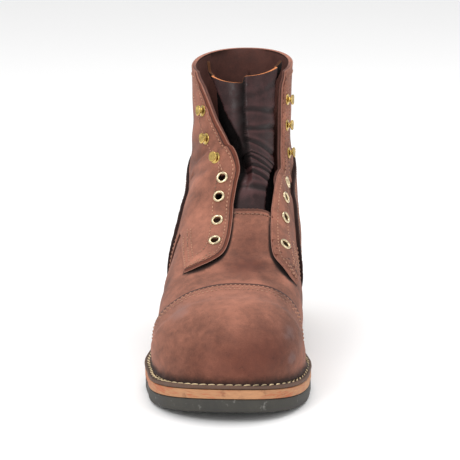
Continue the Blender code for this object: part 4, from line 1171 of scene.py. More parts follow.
def ramped(tree, value, *stops):
    """Colours along a value."""
    made = add(tree, "ShaderNodeValToRGB", {0: value})
    ramp_stops = made.color_ramp.elements
    for element, (position, colour) in zip(ramp_stops, (stops[0], stops[-1])):
        element.position, element.color = position, (*colour, 1.0)
    for position, colour in stops[1:-1]:
        ramp_stops.new(position).color = (*colour, 1.0)
    return made.outputs[0]


def tinted(colour, red, green, blue):
    """A colour with each of its parts made lighter or darker."""
    return tuple(value * factor for value, factor in zip(colour, (red, green, blue)))


def scaled(colour, factor):
    """A colour made lighter or darker."""
    return tuple(min(1.0, value * factor) for value in colour[:3])


def roughout_look(tree, shader, edge_shade=0.0, dirt_and_shade_height=7.0, dark_edge_and_shadow=0.0, layered=False):
    """Reddish-brown roughout: cloudy nap, worn ridges, dirt by the sole, grey scuffs."""
    colour = tuple(bpy.context.scene.boot.leather)
    nap = use(tree, nap_group())
    # Darkening by the sole, which is dirt with painted shade, and specks of dirt.
    dirt = use(tree, dirt_and_shade_group(), {"Height": dirt_and_shade_height})
    darker, rim = read(tree, "darker"), read(tree, "rim")
    # The crease height paints shade in crease troughs and highlight on their ridges; the lighter and darker
    # patches are partly painted light and shade.
    parts = ((read(tree, "crease"), 0.10), (read(tree, "lighter"), 0.13), (darker, -0.16))
    face = ramped(
        tree, summed(tree, nap["Tone"], *parts),
        (0.28, scaled(colour, 0.30)), (0.40, scaled(colour, 0.62)), (0.50, colour),
        (0.60, scaled(colour, 1.45)), (0.74, scaled(colour, 2.00)))
    face = blend(tree, times(tree, darker, 0.6), face, tinted(colour, 0.62, 0.42, 0.42))
    grey_patch = slope(tree, number(tree, "ADD", nap["Mottle"], read(tree, "greyer")), 0.62, 1.15, 0.0, 0.40)
    face = blend(tree, grey_patch, face, tone(112, 98, 98))
    face = blend(tree, times(tree, dirt["Specks"], 0.35), face, scaled(colour, 0.25))
    # Darker towards the sole: dirt with painted shade at the foot of the wall.
    face = blend(tree, times(tree, dirt["Low"], 0.94), face, tone(36, 24, 21))
    face = blend(tree, slope(tree, rim, 0.2, 1.3, 0.28, 0.0), face, scaled(colour, 1.8))
    # Painted shadow under the raised flaps, near black.
    face = blend(tree, times(tree, read(tree, "under"), 0.93), face, tone(20, 13, 12))
    if layered:
        below = slope(tree, read(tree, "foot"), 155.0, 152.0)
        band = read(tree, "band")
        lower = times(tree, slope(tree, band, LAYER_SHOWS - 0.3, LAYER_SHOWS, 0.88, 0.0), below)
        # Painted shade in the groove where the upper layer steps down to the lower one.
        groove = times(tree, slope(tree, band, LAYER_SHOWS + 0.2, LAYER_SHOWS + 0.55, 0.85, 0.0), below)
        face = blend(tree, groove, face, tone(46, 27, 23))
        face = blend(tree, lower, face, tinted(colour, 0.62, 0.42, 0.36))
    # A dark line along the rim: painted shadow along the toe cap's edge; at the vamp's throat the dark cut
    # edge with painted shadow.
    if dark_edge_and_shadow > 0.0:
        face = blend(tree, slope(tree, rim, 1.0, 1.7, dark_edge_and_shadow, 0.0), face, tone(62, 36, 31))
    # Painted shade in a band along the counter's raised edge.
    if edge_shade > 0.0:
        face = blend(tree, slope(tree, rim, 1.5, 2.6, edge_shade, 0.0), face, tone(48, 30, 27))
    shader.inputs["Specular IOR Level"].default_value = 0.22
    shader.inputs["Sheen Weight"].default_value = 0.05
    rough = slope(tree, nap["Mottle"], 0.3, 0.7, 0.74, 0.95)
    dress(tree, shader, face, rough, nap["Grain"], bpy.context.scene.boot.nap, 0.55)


def edge_look(tree, shader):
    """Cut edges: a light outer layer, a dark line between, a dark red-brown inner layer."""
    colour = tuple(bpy.context.scene.boot.leather)
    nap = use(tree, nap_group(), {"Size": 1.7})
    face = ramped(
        tree, read(tree, "layer"),
        (0.00, scaled(colour, 1.3)), (0.24, scaled(colour, 1.1)), (0.32, scaled(colour, 0.14)),
        (0.42, scaled(colour, 0.14)), (0.50, tinted(colour, 0.55, 0.42, 0.45)), (1.00, scaled(colour, 0.35)))
    face = blend(tree, slope(tree, nap["Grain"], 0.4, 0.65, 0.0, 0.35), face, scaled(colour, 0.5))
    raw = ramped(
        tree, nap["Mottle"],
        (0.3, scaled(colour, 0.9)), (0.5, scaled(colour, 1.6)), (0.7, scaled(colour, 2.1)))
    face = blend(tree, slope(tree, read(tree, "foot"), 154.0, 158.0), face, raw)
    dress(tree, shader, face, slope(tree, nap["Mottle"], 0.3, 0.7, 0.65, 0.9), nap["Grain"], 0.5, 0.3)


def smooth_look(tree, shader, colour, rough, grain_size=1.0, lightest=1.6):
    """Smooth grain leather with fine pebbling and worn creases."""
    nap = use(tree, nap_group(), {"Size": grain_size})
    pores = {"Vector": object_coords(tree), "Scale": 900.0 * grain_size}
    pebble = add(tree, "ShaderNodeTexVoronoi", pores).outputs[0]
    under = read(tree, "under")
    # The crease value paints highlight and shade along creases and wrinkles.
    value = summed(tree, nap["Tone"], (read(tree, "crease"), 0.26))
    face = ramped(tree, value, (0.30, scaled(colour, 0.45)), (0.50, colour), (0.70, scaled(colour, lightest)))
    # Painted shade where under is set: by the tongue's fold, along the facings and near the quarters' free
    # edges.
    face = blend(tree, under, face, scaled(colour, 0.12))
    dull = summed(tree, slope(tree, nap["Mottle"], 0.3, 0.7, rough - 0.1, rough + 0.12), (under, 0.5))
    shader.inputs["Specular IOR Level"].default_value = 0.24
    height = summed(tree, times(tree, pebble, 0.5), (nap["Grain"], 0.6))
    dress(tree, shader, face, dull, height, 0.45, 0.22)


def sole_edge_look(tree, shader, colour, dark, stain):
    """Cut edge of sole leather: level fibres, stains and a scuffed lower line."""
    coords = object_coords(tree)
    flatter = add(tree, "ShaderNodeMapping", {"Vector": coords, "Scale": (1.0, 1.0, 7.0)}).outputs[0]
    fibres = noise(tree, flatter, 170.0, 4.0, 0.62)
    broad = noise(tree, coords, 26.0, 3.0, 0.6)
    fine = noise(tree, flatter, 900.0, 2.0, 0.5)
    face = ramped(
        tree, summed(tree, times(tree, fibres, 0.5), (broad, 0.5)),
        (0.30, scaled(dark, 0.8)), (0.44, dark), (0.52, colour), (0.66, scaled(colour, 1.25)))
    face = blend(tree, slope(tree, noise(tree, coords, 90.0, 3.0, 0.7), 0.58, 0.72, 0.0, 0.6), face, stain)
    height = summed(tree, times(tree, fibres, 0.6), (fine, 0.4))
    dress(tree, shader, face, slope(tree, fibres, 0.3, 0.7, 0.55, 0.8), height, 0.6, 0.35)


def rubber_look(tree, shader):
    """Dark grey rubber, matt, with dusty patches and fine moulded texture."""
    colour = tuple(bpy.context.scene.boot.rubber)
    coords = object_coords(tree)
    broad = noise(tree, coords, 40.0, 4.0, 0.6)
    fine = noise(tree, coords, 1100.0, 2.0, 0.5)
    face = ramped(tree, broad, (0.34, scaled(colour, 0.62)), (0.5, colour), (0.66, scaled(colour, 1.4)))
    dust = slope(tree, noise(tree, coords, 130.0, 3.0, 0.7), 0.60, 0.74, 0.0, 0.5)
    face = blend(tree, dust, face, tone(150, 148, 142))
    height = summed(tree, fine, (broad, 0.6))
    dress(tree, shader, face, slope(tree, broad, 0.3, 0.7, 0.55, 0.8), height, 0.4, 0.25)


def flange_look(tree, shader):
    """The turned-out edge: dark, dirty leather, blacker against the wall."""
    colour = tuple(bpy.context.scene.boot.flange)
    nap = use(tree, nap_group(), {"Size": 1.3})
    face = ramped(tree, nap["Tone"], (0.30, scaled(colour, 0.45)), (0.5, colour), (0.68, scaled(colour, 1.7)))
    inward = read(tree, "rim")
    # Blacker towards the wall: dirt with painted shade in the crease where the upper turns out.
    face = blend(tree, slope(tree, inward, 4.0, 8.5, 0.0, 0.85), face, tone(34, 23, 20))
    face = blend(tree, slope(tree, inward, 0.0, 0.9, 0.4, 0.0), face, scaled(colour, 2.0))
    dress(tree, shader, face, slope(tree, nap["Mottle"], 0.3, 0.7, 0.6, 0.85), nap["Grain"], 0.6, 0.45)


def brass_look(tree, shader, share=1.0):
    """Polished brass with a little tarnish, paler at a smaller share of its colour."""
    colour = tuple(c + (1.0 - c) * (1.0 - share) for c in bpy.context.scene.boot.brass)
    coords = object_coords(tree)
    cloud = noise(tree, coords, 260.0, 3.0, 0.6)
    face = ramped(tree, cloud, (0.34, scaled(colour, 0.5)), (0.5, colour), (0.68, scaled(colour, 1.3)))
    shader.inputs["Metallic"].default_value = 1.0
    fine = noise(tree, coords, 1800.0, 2.0, 0.5)
    dress(tree, shader, face, slope(tree, cloud, 0.3, 0.7, 0.34, 0.18), fine, 0.2, 0.08)


def thread_look(tree, shader, colour):
    """Waxed thread, twisted and a little soiled."""
    coords = object_coords(tree)
    soil = noise(tree, coords, 70.0, 3.0, 0.6)
    twist = {"Vector": coords, "Scale": 420.0, "Distortion": 2.0}
    ply = add(tree, "ShaderNodeTexWave", twist, bands_direction="DIAGONAL").outputs[1]
    face = ramped(tree, soil, (0.36, scaled(colour, 0.42)), (0.5, scaled(colour, 0.85)), (0.62, colour))
    dress(tree, shader, face, slope(tree, soil, 0.3, 0.7, 0.55, 0.75), ply, 0.5, 0.12)


def hole_shade_look(tree, shader):
    """The dark inside of awl holes."""
    cloud = noise(tree, object_coords(tree), 300.0)
    face = ramped(tree, cloud, (0.3, tone(14, 9, 8)), (0.7, tone(34, 20, 17)))
    tree.links.new(face, shader.inputs["Base Color"])
    shader.inputs["Roughness"].default_value = 0.95


def finish_of(name):
    """A material by name, made the first time it is asked for."""
    found = bpy.data.materials.get(name)
    if found:
        return found
    settings = bpy.context.scene.boot
    look, *values = {
        "Counter leather": (roughout_look, 0.9, 9.0),
        "Quarter leather": (roughout_look, 0.0, 7.0, 0.0, True),
        "Vamp leather": (roughout_look, 0.0, 7.0, 0.75),
        "Cap leather": (roughout_look, 0.0, 8.5, 0.9),
        "Cut leather edge": (edge_look,),
        "Dark leather edge": (smooth_look, tone(50, 32, 29), 0.8),
        "Shaft lining": (smooth_look, tone(88, 55, 48), 0.7, 0.9),
        "Tongue leather": (smooth_look, tuple(settings.tongue), 0.42, 1.0, 2.6),
        "Insole leather": (smooth_look, tone(150, 112, 82), 0.75),
        "Raw tongue edge": (smooth_look, tone(200, 125, 78), 0.8),
        "Turned-out edge leather": (flange_look,),
        "Midsole leather": (
            sole_edge_look, tuple(settings.midsole), tone(178, 98, 60), tone(120, 72, 48)),
        "Heel leather": (sole_edge_look, tone(150, 122, 88), tone(112, 88, 62), tone(70, 56, 44)),
        "Sole rubber": (rubber_look,),
        "Brass hardware": (brass_look,),
        "Pale eyelet brass": (brass_look, 0.72),
        "Upper thread": (thread_look, tuple(settings.thread)),
        "Sole thread": (thread_look, tuple(settings.sole_thread)),
        "Awl holes": (hole_shade_look,),
    }[name]
    made, tree, shader = fresh_material(name)
    look(tree, shader, *values)
    return made


# Building steps, each called by its operator

def whole_border(free, sole_rows, side, seam_top, step):
    """Closed loop of a quarter or counter: free edge up, back seam down, sole edge forward."""
    count = max(int(round((seam_top - HEEL_BACK_ROW) * ROW_STEP / step)), 2)
    seam = [flat(r, side) for r in np.linspace(seam_top, HEEL_BACK_ROW, count + 1)]
    count = max(int(round((HEEL_BACK_ROW - sole_rows) * ROW_STEP / step)), 2)
    sole = [flat(r, side) for r in np.linspace(HEEL_BACK_ROW, sole_rows, count + 1)]
    return [tuple(p) for p in list(free) + seam + sole[1:-1]]


def both_sides(sides):
    """Points and triangles of the two sides put together."""
    (first, first_faces), (second, second_faces) = sides
    return np.concatenate([first, second]), np.concatenate([first_faces, second_faces + len(first)])


def toe_sides(edge, step):
    """The sole's edge under a panel: on the outer side, on the inner side and round the toe."""
    count = int(round(edge[-1][0] * ROW_STEP / step)) + 1
    outer = [flat(r, -1.0) for r in np.linspace(0.0, edge[0][0], count)]
    inner = [flat(r, 1.0) for r in np.linspace(edge[-1][0], 0.0, count)]
    toe = [flat(0.0, s) for s in np.linspace(1.0, -1.0, int(round(2 * HALF_GIRTH / step)) + 1)]
    return outer, inner, toe


def make_vamp():
    """The vamp, from the toe edge back under the quarters, open at the throat."""
    step = detail(1.55)
    back = line_through(VAMP_BACK, step)
    outer_side, inner_side, toe = toe_sides(VAMP_BACK, step)
    loop = [tuple(p) for p in outer_side + list(back[1:]) + inner_side[1:] + toe[1:-1]]
    lines = []
    for column, side in SIDES:
        under = raised_edge(column, step)
        under = under[under[:, 0] < UNDER_FLAP_ROW * ROW_STEP]
        lines += [moved_in(under, side * distance)[2:-2] for distance in (1.1, 2.2)]
    points, faces = flat_mesh(loop, step, (), lines)
    rim = distance_to(points, back)
    ragged = 0.45 * np.sin(points[:, 1] * 1.9) * bell(rim / 0.8)
    outer = vamp_height(points) + stitched_down(rim, 2.6, 0.2) + ragged
    finishes = ("Vamp leather", "Dark leather edge", "Shaft lining")
    crease = crease_field(points, VAMP_CREASES)
    made = leather_shell("vamp", points, faces, outer, np.zeros(len(points)), 0.35, finishes, rim, crease)
    # Painted shadow under the raised flaps.
    put_everywhere(made, "under", covered_places(points), faces)
    finished(made, "roughout", "upper")


def put_everywhere(made, name, values, faces):
    """Give a panel's attribute to its face, its inner face and its edge rings."""
    edge = values[np.unique(border_edges(faces, len(values)))]
    put_attribute(made.data, name, np.concatenate([values, values] + [edge] * len(EDGE_SHAPE)))


def tongue_shade(points):
    """Deep shade on the tongue: by the fold and in the gaps along both facings."""
    row, share = places_of(points)
    past = (fold_share(row) - share) * HALF_GIRTH
    by_fold = np.where(past > -0.4, 1.0 - ease((past + 0.4) / 9.0), 0.0) * ease((row - 8.6) / 1.5)
    from_outer = (share - share_of(FACING, 1, row)) * HALF_GIRTH
    from_inner = (share_of(FACING, 2, row) - share) * HALF_GIRTH
    wide = 4.0 + 5.0 * ease((16.5 - row) / 4.0) * ease((row - 8.0) / 2.0)
    by_outer = 1.0 - ease((from_outer - 0.35 * wide) / (0.65 * wide))
    by_inner = 1.0 - ease((from_inner - 1.6) / 1.6)
    return np.maximum(np.maximum(by_fold, by_outer), by_inner)


def covered_places(points):
    """How far places on the vamp lie in the shadow under the raised flaps."""
    covered = np.zeros(len(points))
    for column, side in SIDES:
        _, _, flap, facing = flap_lines(column, 1.5)
        corners = [flat(COLLAR_ROW, side), flat(QUARTER_FRONT[-1][0], side)]
        hidden = inside(points, np.concatenate([free_edge(column, 1.5), corners]))
        away = distance_to(points, np.concatenate([flap, facing[:int(0.4 * len(facing))]]))
        covered = np.maximum(covered, np.where(hidden, 1.0, 1.0 - ease((away - 1.1) / 1.1)))
    return covered


def make_quarters():
    """Both quarters with their raised flaps, facings, collar and lining, joined at the back."""
    step = detail(1.5)
    sides = []
    for column, side in SIDES:
        free = free_edge(column, step)
        collar = spaced([free[-1], flat(COLLAR_ROW, side)], step)
        free = np.concatenate([free, collar[1:-1]])
        loop = whole_border(free, QUARTER_FRONT[-1][0], side, COLLAR_ROW, step)
        holes = [round_places(row, share, EYELET_HOLE, 20) for row, share in EYELETS if share * side > 0]
        sides.append(flat_mesh(loop, step, holes))
    points, faces = both_sides(sides)
    rim = np.minimum(nearest(points, FREE_EDGES), (COLLAR_ROW - points[:, 0] / ROW_STEP) * ROW_STEP * 0.75)
    outer = quarter_height(points)
    lifted = flap_lift(points)
    row = points[:, 0] / ROW_STEP
    deeper = 1.7 * (1.0 - ease((rim - 0.8) / 4.0)) * ease((row - 8.0) / 1.5) * ease((16.9 - row) / 0.6)
    lining = 2.75 - 1.65 * ease((row - 8.0) / 1.0) + lifted - deeper
    crease = crease_field(points, QUARTER_CREASES)
    finishes = ("Quarter leather", "Cut leather edge", "Shaft lining")
    made = leather_shell("quarters", points, faces, outer, lining, 0.55, finishes, rim, crease)
    # Painted shade on the lining near the free edges, fading out at the collar.
    shade = (1.0 - ease((nearest(points, FREE_EDGES) - 5.0) / 8.0)) * (1.0 - ease((row - 16.0) / 0.8))
    edges = np.zeros(len(made.data.vertices) - 2 * len(points))
    put_attribute(made.data, "under", np.concatenate([np.zeros(len(points)), shade, edges]))
    band = nearest(points, LAYERED_EDGES)
    put_attribute(made.data, "band", np.concatenate([band, band, edges]))
    finished(made, "roughout", "upper")


def make_toe_cap():
    """The toe cap over the vamp."""
    step = detail(1.5)
    edge = line_through(CAP_EDGE, step)
    outer_side, inner_side, toe = toe_sides(CAP_EDGE, step)
    loop = [tuple(p) for p in list(edge) + inner_side[1:] + toe[1:] + outer_side[1:-1]]
    points, faces = flat_mesh(loop, step)
    rim = distance_to(points, edge)
    finishes = ("Cap leather", "Dark leather edge", "Shaft lining")
    under = np.full(len(points), VAMP_WALL - 0.2)
    made = leather_shell("cap_leather", points, faces, cap_height(points), under, 0.4, finishes, rim)
    # A painted highlight along the ridge where the toe cap puffs up, added to the lighter patches.
    lighter = patch_fields(points)[1] + 0.8 * bell((rim - 15.0) / 4.0)
    put_everywhere(made, "lighter", np.clip(lighter, 0.0, 1.0), faces)
    finished(made, "roughout", "toe_cap")


def make_counter():
    """The outside heel counter with its dark raised edge, joined at the back."""
    step = detail(1.6)
    sides = []
    for column, side in SIDES:
        free = table_line(COUNTER_EDGE, column, step)
        loop = whole_border(free[:-1], COUNTER_EDGE[0][0], side, COUNTER_EDGE[-1][0], step)
        sides.append(flat_mesh(loop, step))
    points, faces = both_sides(sides)
    rim = nearest(points, COUNTER_LINES)
    finishes = ("Counter leather", "Dark leather edge", "Shaft lining")
    under = np.full(len(points), HIGH_WALL - 0.4)
    made = leather_shell("counter_leather", points, faces, counter_height(points), under, 0.5, finishes, rim)
    finished(made, "roughout", "counter")


def make_tongue():
    """The unlined bellows tongue: a front panel folded over the outer part, wrinkled."""
    step = detail(1.3)
    outer = table_line(TONGUE_EDGE, 1, step)
    inner = table_line(TONGUE_EDGE, 2, step)[::-1]
    top = spaced([outer[-1], inner[0]], step)
    behind = top[:, 1] / HALF_GIRTH < fold_share(COLLAR_ROW) - 0.5 * FOLD_HALF
    drop = 4.6 * ease((top[:, 1] - outer[-1][1]) / 5.0)
    top = top - np.stack([np.where(behind, drop, 0.0), np.zeros(len(top))], axis=1)
    foot = spaced([inner[-1], outer[0]], step)
    loop = [tuple(p) for p in list(outer) + list(top[1:]) + list(inner[1:]) + list(foot[1:-1])]
    rows = np.linspace(THROAT_ROW + 0.5, COLLAR_ROW + 0.1, 110)
    lines = [[flat(r, fold_share(r) + aside) for r in rows] for aside in (-FOLD_HALF, FOLD_HALF)]
    points, faces = flat_mesh(loop, step, (), lines)
    height = tongue_height(points)
    finishes = ("Tongue leather", "Raw tongue edge", "Tongue leather")
    # The wrinkles' slope, which the tongue's material paints as highlight and shade.
    wrinkle = height - tongue_height(points + np.array([2.5, 0.0]))
    rim = distance_to(points, top)
    made = leather_shell("tongue_leather", points, faces, height, height - 2.0, 0.35, finishes, rim, wrinkle)
    put_everywhere(made, "under", tongue_shade(points), faces)
    finished(made, "tongue_leather", "tongue")


def finished(made, slot, *nodes):
    """Let a finished piece ride on the boot, take its slot and stand for its nodes."""
    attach(made, "root")
    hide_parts(*nodes)


def last_edge(count):
    """The last's edge at even steps, its outward directions and the width of the edge turned out there."""
    loop = even_loop(feather_loop(FORM), count)
    width = [flange_width(SOLE_LENGTH / 2 - y, -1 if x < 0 else 1) for x, y, _ in loop]
    return loop, loop_normals(loop), np.array(width)


def sole_loop(inset):
    """Outline of the sole in millimetres: the last's edge and the turned-out edge, less an inset."""
    loop, outward, width = last_edge(640)
    return loop + outward * (width[:, None] - inset)


def make_flange():
    """The upper's edge turned out over the midsole, with its rounded, slightly wavy lip."""
    count = 840
    loop, outward, width = last_edge(count)
    run = run_along(loop)
    wave = 0.22 * np.sin(run / 13.0) + 0.14 * np.sin(run / 5.1 + 1.0)
    across = (
        # share of the width, from the edge, height, wave share
        (None, -1.5, -0.1, 0.0),
        (0.20, 0.0, 0.0, 0.0),
        (0.45, 0.0, 0.05, 0.4),
        (None, 6.4, 0.02, 0.8),
        (None, 5.1, -0.30, 0.9),
        (None, 3.8, 0.00, 1.0),
        (None, 2.5, -0.35, 1.0),
        (None, 1.4, 0.00, 1.0),
        (None, 0.6, -0.08, 1.0),
        (None, 0.12, -0.45, 1.0),
        (None, 0.0, -1.1, 0.8),
        (None, 0.1, -1.9, 0.4),
        (None, 0.4, -2.45, 0.0),
        (None, 1.6, -2.55, 0.0),
    )
    rings = []
    rims = []
    for share, edge, height, waved in across:
        out = width * share if share is not None else np.where(edge < 0.0, edge, width - edge)
        ring = loop + outward * np.reshape(out, (-1, 1))
        ring[:, 2] = flange_at(ring[:, 1]) + height + wave * waved
        rings.append(ring)
        rims.append(width - out)
    strips = []
    around = np.arange(count)
    ahead = np.roll(around, -1)
    for k in range(len(rings) - 1):
        near, far = k * count, (k + 1) * count
        strips.append(np.stack([near + around, far + around, far + ahead, near + ahead], axis=1))
    points = np.concatenate(rings)
    strips = np.concatenate(strips)
    a, b, c = points[strips[0, 0]], points[strips[0, 1]], points[strips[0, 3]]
    if np.cross(b - a, c - a)[2] < 0.0:
        strips = strips[:, ::-1]
    made = object_from("flange", points, [strips], None, "Turned-out edge leather")
    put_attribute(made.data, "rim", np.concatenate(rims))
    finished(made, "roughout", "upper")


def sole_layer(name, loop, low, high, finish, slot, node, soft, cut=None):
    """A layer of the sole: a circle laid on the outline, drawn up, cut across and curved to the last."""
    bpy.ops.object.select_all(action="DESELECT")
    bpy.ops.mesh.primitive_circle_add(vertices=len(loop), radius=0.05, fill_type="NGON")
    made = bpy.context.active_object
    made.name = name
    made.data.name = name
    for vert, place in zip(made.data.vertices, loop):
        vert.co = (place[0] * MM, place[1] * MM, 0.0)
    bpy.ops.object.mode_set(mode="EDIT")
    bpy.ops.mesh.select_mode(type="VERT")
    bpy.ops.mesh.select_all(action="SELECT")
    middle = SOLE_LENGTH / 2
    thick = abs(float(high(middle) - low(middle))) * MM
    bpy.ops.mesh.extrude_region_move(TRANSFORM_OT_translate={"value": (0.0, 0.0, thick)})
    bpy.ops.mesh.select_all(action="SELECT")
    bpy.ops.mesh.normals_make_consistent(inside=False)
    bpy.ops.object.mode_set(mode="OBJECT")
    soften_rims(made, soft)
    bpy.ops.object.mode_set(mode="EDIT")
    bpy.ops.mesh.select_mode(type="VERT")
    for y in np.arange(2.0 - middle, middle - 1.0, 3.0):
        bpy.ops.mesh.select_all(action="SELECT")
        bpy.ops.mesh.bisect(plane_co=(0.0, y * MM, 0.0), plane_no=(0.0, 1.0, 0.0))
    if cut is not None:
        bpy.ops.mesh.select_all(action="SELECT")
        bpy.ops.mesh.bisect(
            plane_co=(0.0, cut * MM, 0.0), plane_no=(0.0, 1.0, 0.0), use_fill=True, clear_inner=True)
    bpy.ops.mesh.select_all(action="SELECT")
    bpy.ops.mesh.normals_make_consistent(inside=False)
    bpy.ops.object.mode_set(mode="OBJECT")
    for vert in made.data.vertices:
        station = SOLE_LENGTH / 2 - vert.co.y / MM
        share = vert.co.z / thick
        vert.co.z = float(low(station) + share * (high(station) - low(station))) * MM
    bpy.ops.object.shade_smooth_by_angle(angle=math.radians(50.0))
    made.data.materials.clear()
    made.data.materials.append(finish_of(finish))
    finished(made, slot, node)


def soften_rims(made, soft):
    """Bevel the edges where a layer's side meets its top and underside."""
    mesh = made.data
    flat_faces = {face.index for face in mesh.polygons if abs(face.normal.z) > 0.6}
    by_edge = {}
    for face in mesh.polygons:
        for key in face.edge_keys:
            by_edge.setdefault(key, []).append(face.index in flat_faces)
    for part in (*mesh.vertices, *mesh.polygons):
        part.select = False
    for edge in mesh.edges:
        edge.select = len(set(by_edge.get(edge.key, [True]))) == 2
    bpy.ops.object.mode_set(mode="EDIT")
    bpy.ops.mesh.select_mode(type="EDGE")
    bpy.ops.mesh.bevel(offset=soft * MM, segments=3, affect="EDGES")
    bpy.ops.object.mode_set(mode="OBJECT")


def make_sole():
    """Leather midsole and rubber outsole."""
    sole_layer("midsole_edge", sole_loop(0.35), lambda s: outsole_top(s) + FIT, midsole_top,
               "Midsole leather", "sole_leather", "midsole", 0.6)
    sole_layer("outsole_rubber", sole_loop(0.6), sole_under, lambda s: outsole_top(s) + FIT * 0.5,
               "Sole rubber", "rubber", "outsole", 1.3)


def make_insole():
    """The insole inside the upper."""
    loop = even_loop(feather_loop(FORM), 420)
    loop = loop - loop_normals(loop) * 0.6
    under = lambda s: midsole_top(s) + FIT
    sole_layer("insole_layer", loop, under, lambda s: under(s) + INSOLE_THICK,
               "Insole leather", "insole_leather", "insole", 0.6)


def make_heel():
    """The stacked heel: two leather lifts and the rubber top piece."""
    breast = SOLE_LENGTH / 2 - HEEL_LENGTH
    top = HEEL_STACK - 2 * LIFT_THICK - 3 * FIT
    level = lambda value: lambda station: value
    sole_layer("heel_rubber", sole_loop(1.2), level(0.0), level(top),
               "Sole rubber", "rubber", "top_piece", 0.9, breast)
    low = top + FIT
    for count, inset in ((2, 1.0), (1, 0.8)):
        sole_layer(f"heel_layer_{count}", sole_loop(inset), level(low), level(low + LIFT_THICK + FIT * 0.5),
                   "Heel leather", "sole_leather", f"heel_lift_{count}", 0.45, breast)
        low += LIFT_THICK + FIT


def turned_by_hand(name, profile, segments):
    """A circle drawn out and scaled ring by ring along a profile of radius and height, then closed."""
    bpy.ops.object.select_all(action="DESELECT")
    radius, height = profile[0]
    bpy.ops.mesh.primitive_circle_add(vertices=segments, radius=radius * MM, fill_type="NOTHING")
    made = bpy.context.active_object
    made.name = name
    bpy.ops.object.mode_set(mode="EDIT")
    bpy.ops.mesh.select_all(action="SELECT")
    bpy.ops.transform.translate(value=(0.0, 0.0, height * MM))
    for next_radius, next_height in profile[1:]:
        rise = (next_height - height) * MM
        bpy.ops.mesh.extrude_edges_move(TRANSFORM_OT_translate={"value": (0.0, 0.0, rise)})
        ratio = next_radius / radius
        bpy.ops.transform.resize(value=(ratio, ratio, 1.0), center_override=(0.0, 0.0, next_height * MM))
        radius, height = next_radius, next_height
    bpy.ops.object.mode_set(mode="OBJECT")
    bpy.ops.object.mode_set(mode="EDIT")
    bpy.ops.mesh.select_all(action="SELECT")
    bpy.ops.mesh.remove_doubles(threshold=0.01 * MM)
    bpy.ops.mesh.select_all(action="DESELECT")
    bpy.ops.mesh.select_non_manifold(extend=False)
    bpy.ops.mesh.edge_face_add()
    bpy.ops.mesh.select_all(action="SELECT")
    bpy.ops.mesh.normals_make_consistent(inside=False)
    bpy.ops.object.mode_set(mode="OBJECT")
    bpy.ops.object.shade_smooth_by_angle(angle=math.radians(55.0))
    return made


def set_in_place(template, places, piece, node, rise, finish):
    """Copies of a small piece on the facings, each with its own mesh, put in place in the mesh itself."""
    per_side = len(places) // 2
    for count, (row, share) in enumerate(places):
        side = "outer" if share < 0 else "inner"
        number_on_side = f"{side}_{count % per_side + 1}"
        mesh = template.data.copy()
        mesh.name = f"{piece}_{number_on_side}"
        mesh.transform(seat_matrix(row, share, rise))
        made = bpy.data.objects.new(mesh.name, mesh)
        bpy.context.scene.collection.objects.link(made)
        mesh.materials.clear()
        mesh.materials.append(finish_of(finish))
        finished(made, "brass", f"{node}_{number_on_side}")
    bpy.data.objects.remove(template, do_unlink=True)


def seat_matrix(row, share, rise):
    """Frame of a small piece on the quarter's face: z outwards, y away from the throat."""
    place = np.array([flat(row, share)])
    height = quarter_height(place)
    near = 0.01 if share > 0 else -0.01
    point, normal, _ = leather_points(place, height)
    beside, _, _ = leather_points(np.array([flat(row, share + near)]), height)
    z_axis = Vector(normal[0]).normalized()
    away = Vector(beside[0] - point[0])
    y_axis = (away - z_axis * away.dot(z_axis)).normalized()
    x_axis = y_axis.cross(z_axis)
    origin = Vector(point[0]) * MM + z_axis * rise * MM
    matrix = Matrix((x_axis, y_axis, z_axis)).transposed().to_4x4()
    matrix.translation = origin
    return matrix


def make_eyelets():
    """Eight rolled brass eyelets through the facings."""
    profile = ((2.45, -3.4), (2.42, -0.4), (2.46, 0.25), (2.62, 0.68), (2.95, 0.98), (3.4, 1.06),
               (3.85, 0.92), (4.2, 0.58), (4.36, 0.15), (4.3, -0.2), (3.6, -0.25),
               (2.85, -0.4), (2.8, -3.4), (2.45, -3.4))
    template = turned_by_hand("eyelet_shape", profile, 36)
    set_in_place(template, EYELETS, "rolled_eyelet", "eyelet", 0.15, "Pale eyelet brass")


def make_hooks():
    """Six speed hooks: a riveted foot, a neck and a rolled wing that leans away from the throat."""
    profile = ((0.6, -0.5), (4.0, -0.5), (4.15, 0.0), (3.95, 0.35), (3.2, 0.6), (2.3, 0.85), (1.75, 1.5),
               (1.6, 2.3), (1.65, 2.7), (2.1, 3.1), (2.8, 3.35), (3.2, 3.45), (3.4, 3.75), (3.3, 4.15),
               (2.8, 4.35), (2.2, 4.25), (1.5, 4.0), (0.5, 3.9))
    template = turned_by_hand("hook_shape", profile, 30)
    for vert in template.data.vertices:
        height = vert.co.z / MM
        lean = float(ease((height - 0.9) / 3.0))
        vert.co.y -= 0.5 * lean * MM
        if height > 2.9:
            past = (vert.co.y / MM + 0.5) / 3.4
            vert.co.z += (0.55 * past - 0.9 * max(0.0, past) ** 2) * MM
            vert.co.x *= 1.08
    set_in_place(template, HOOKS, "speed_hook", "hook", 0.1, "Brass hardware")


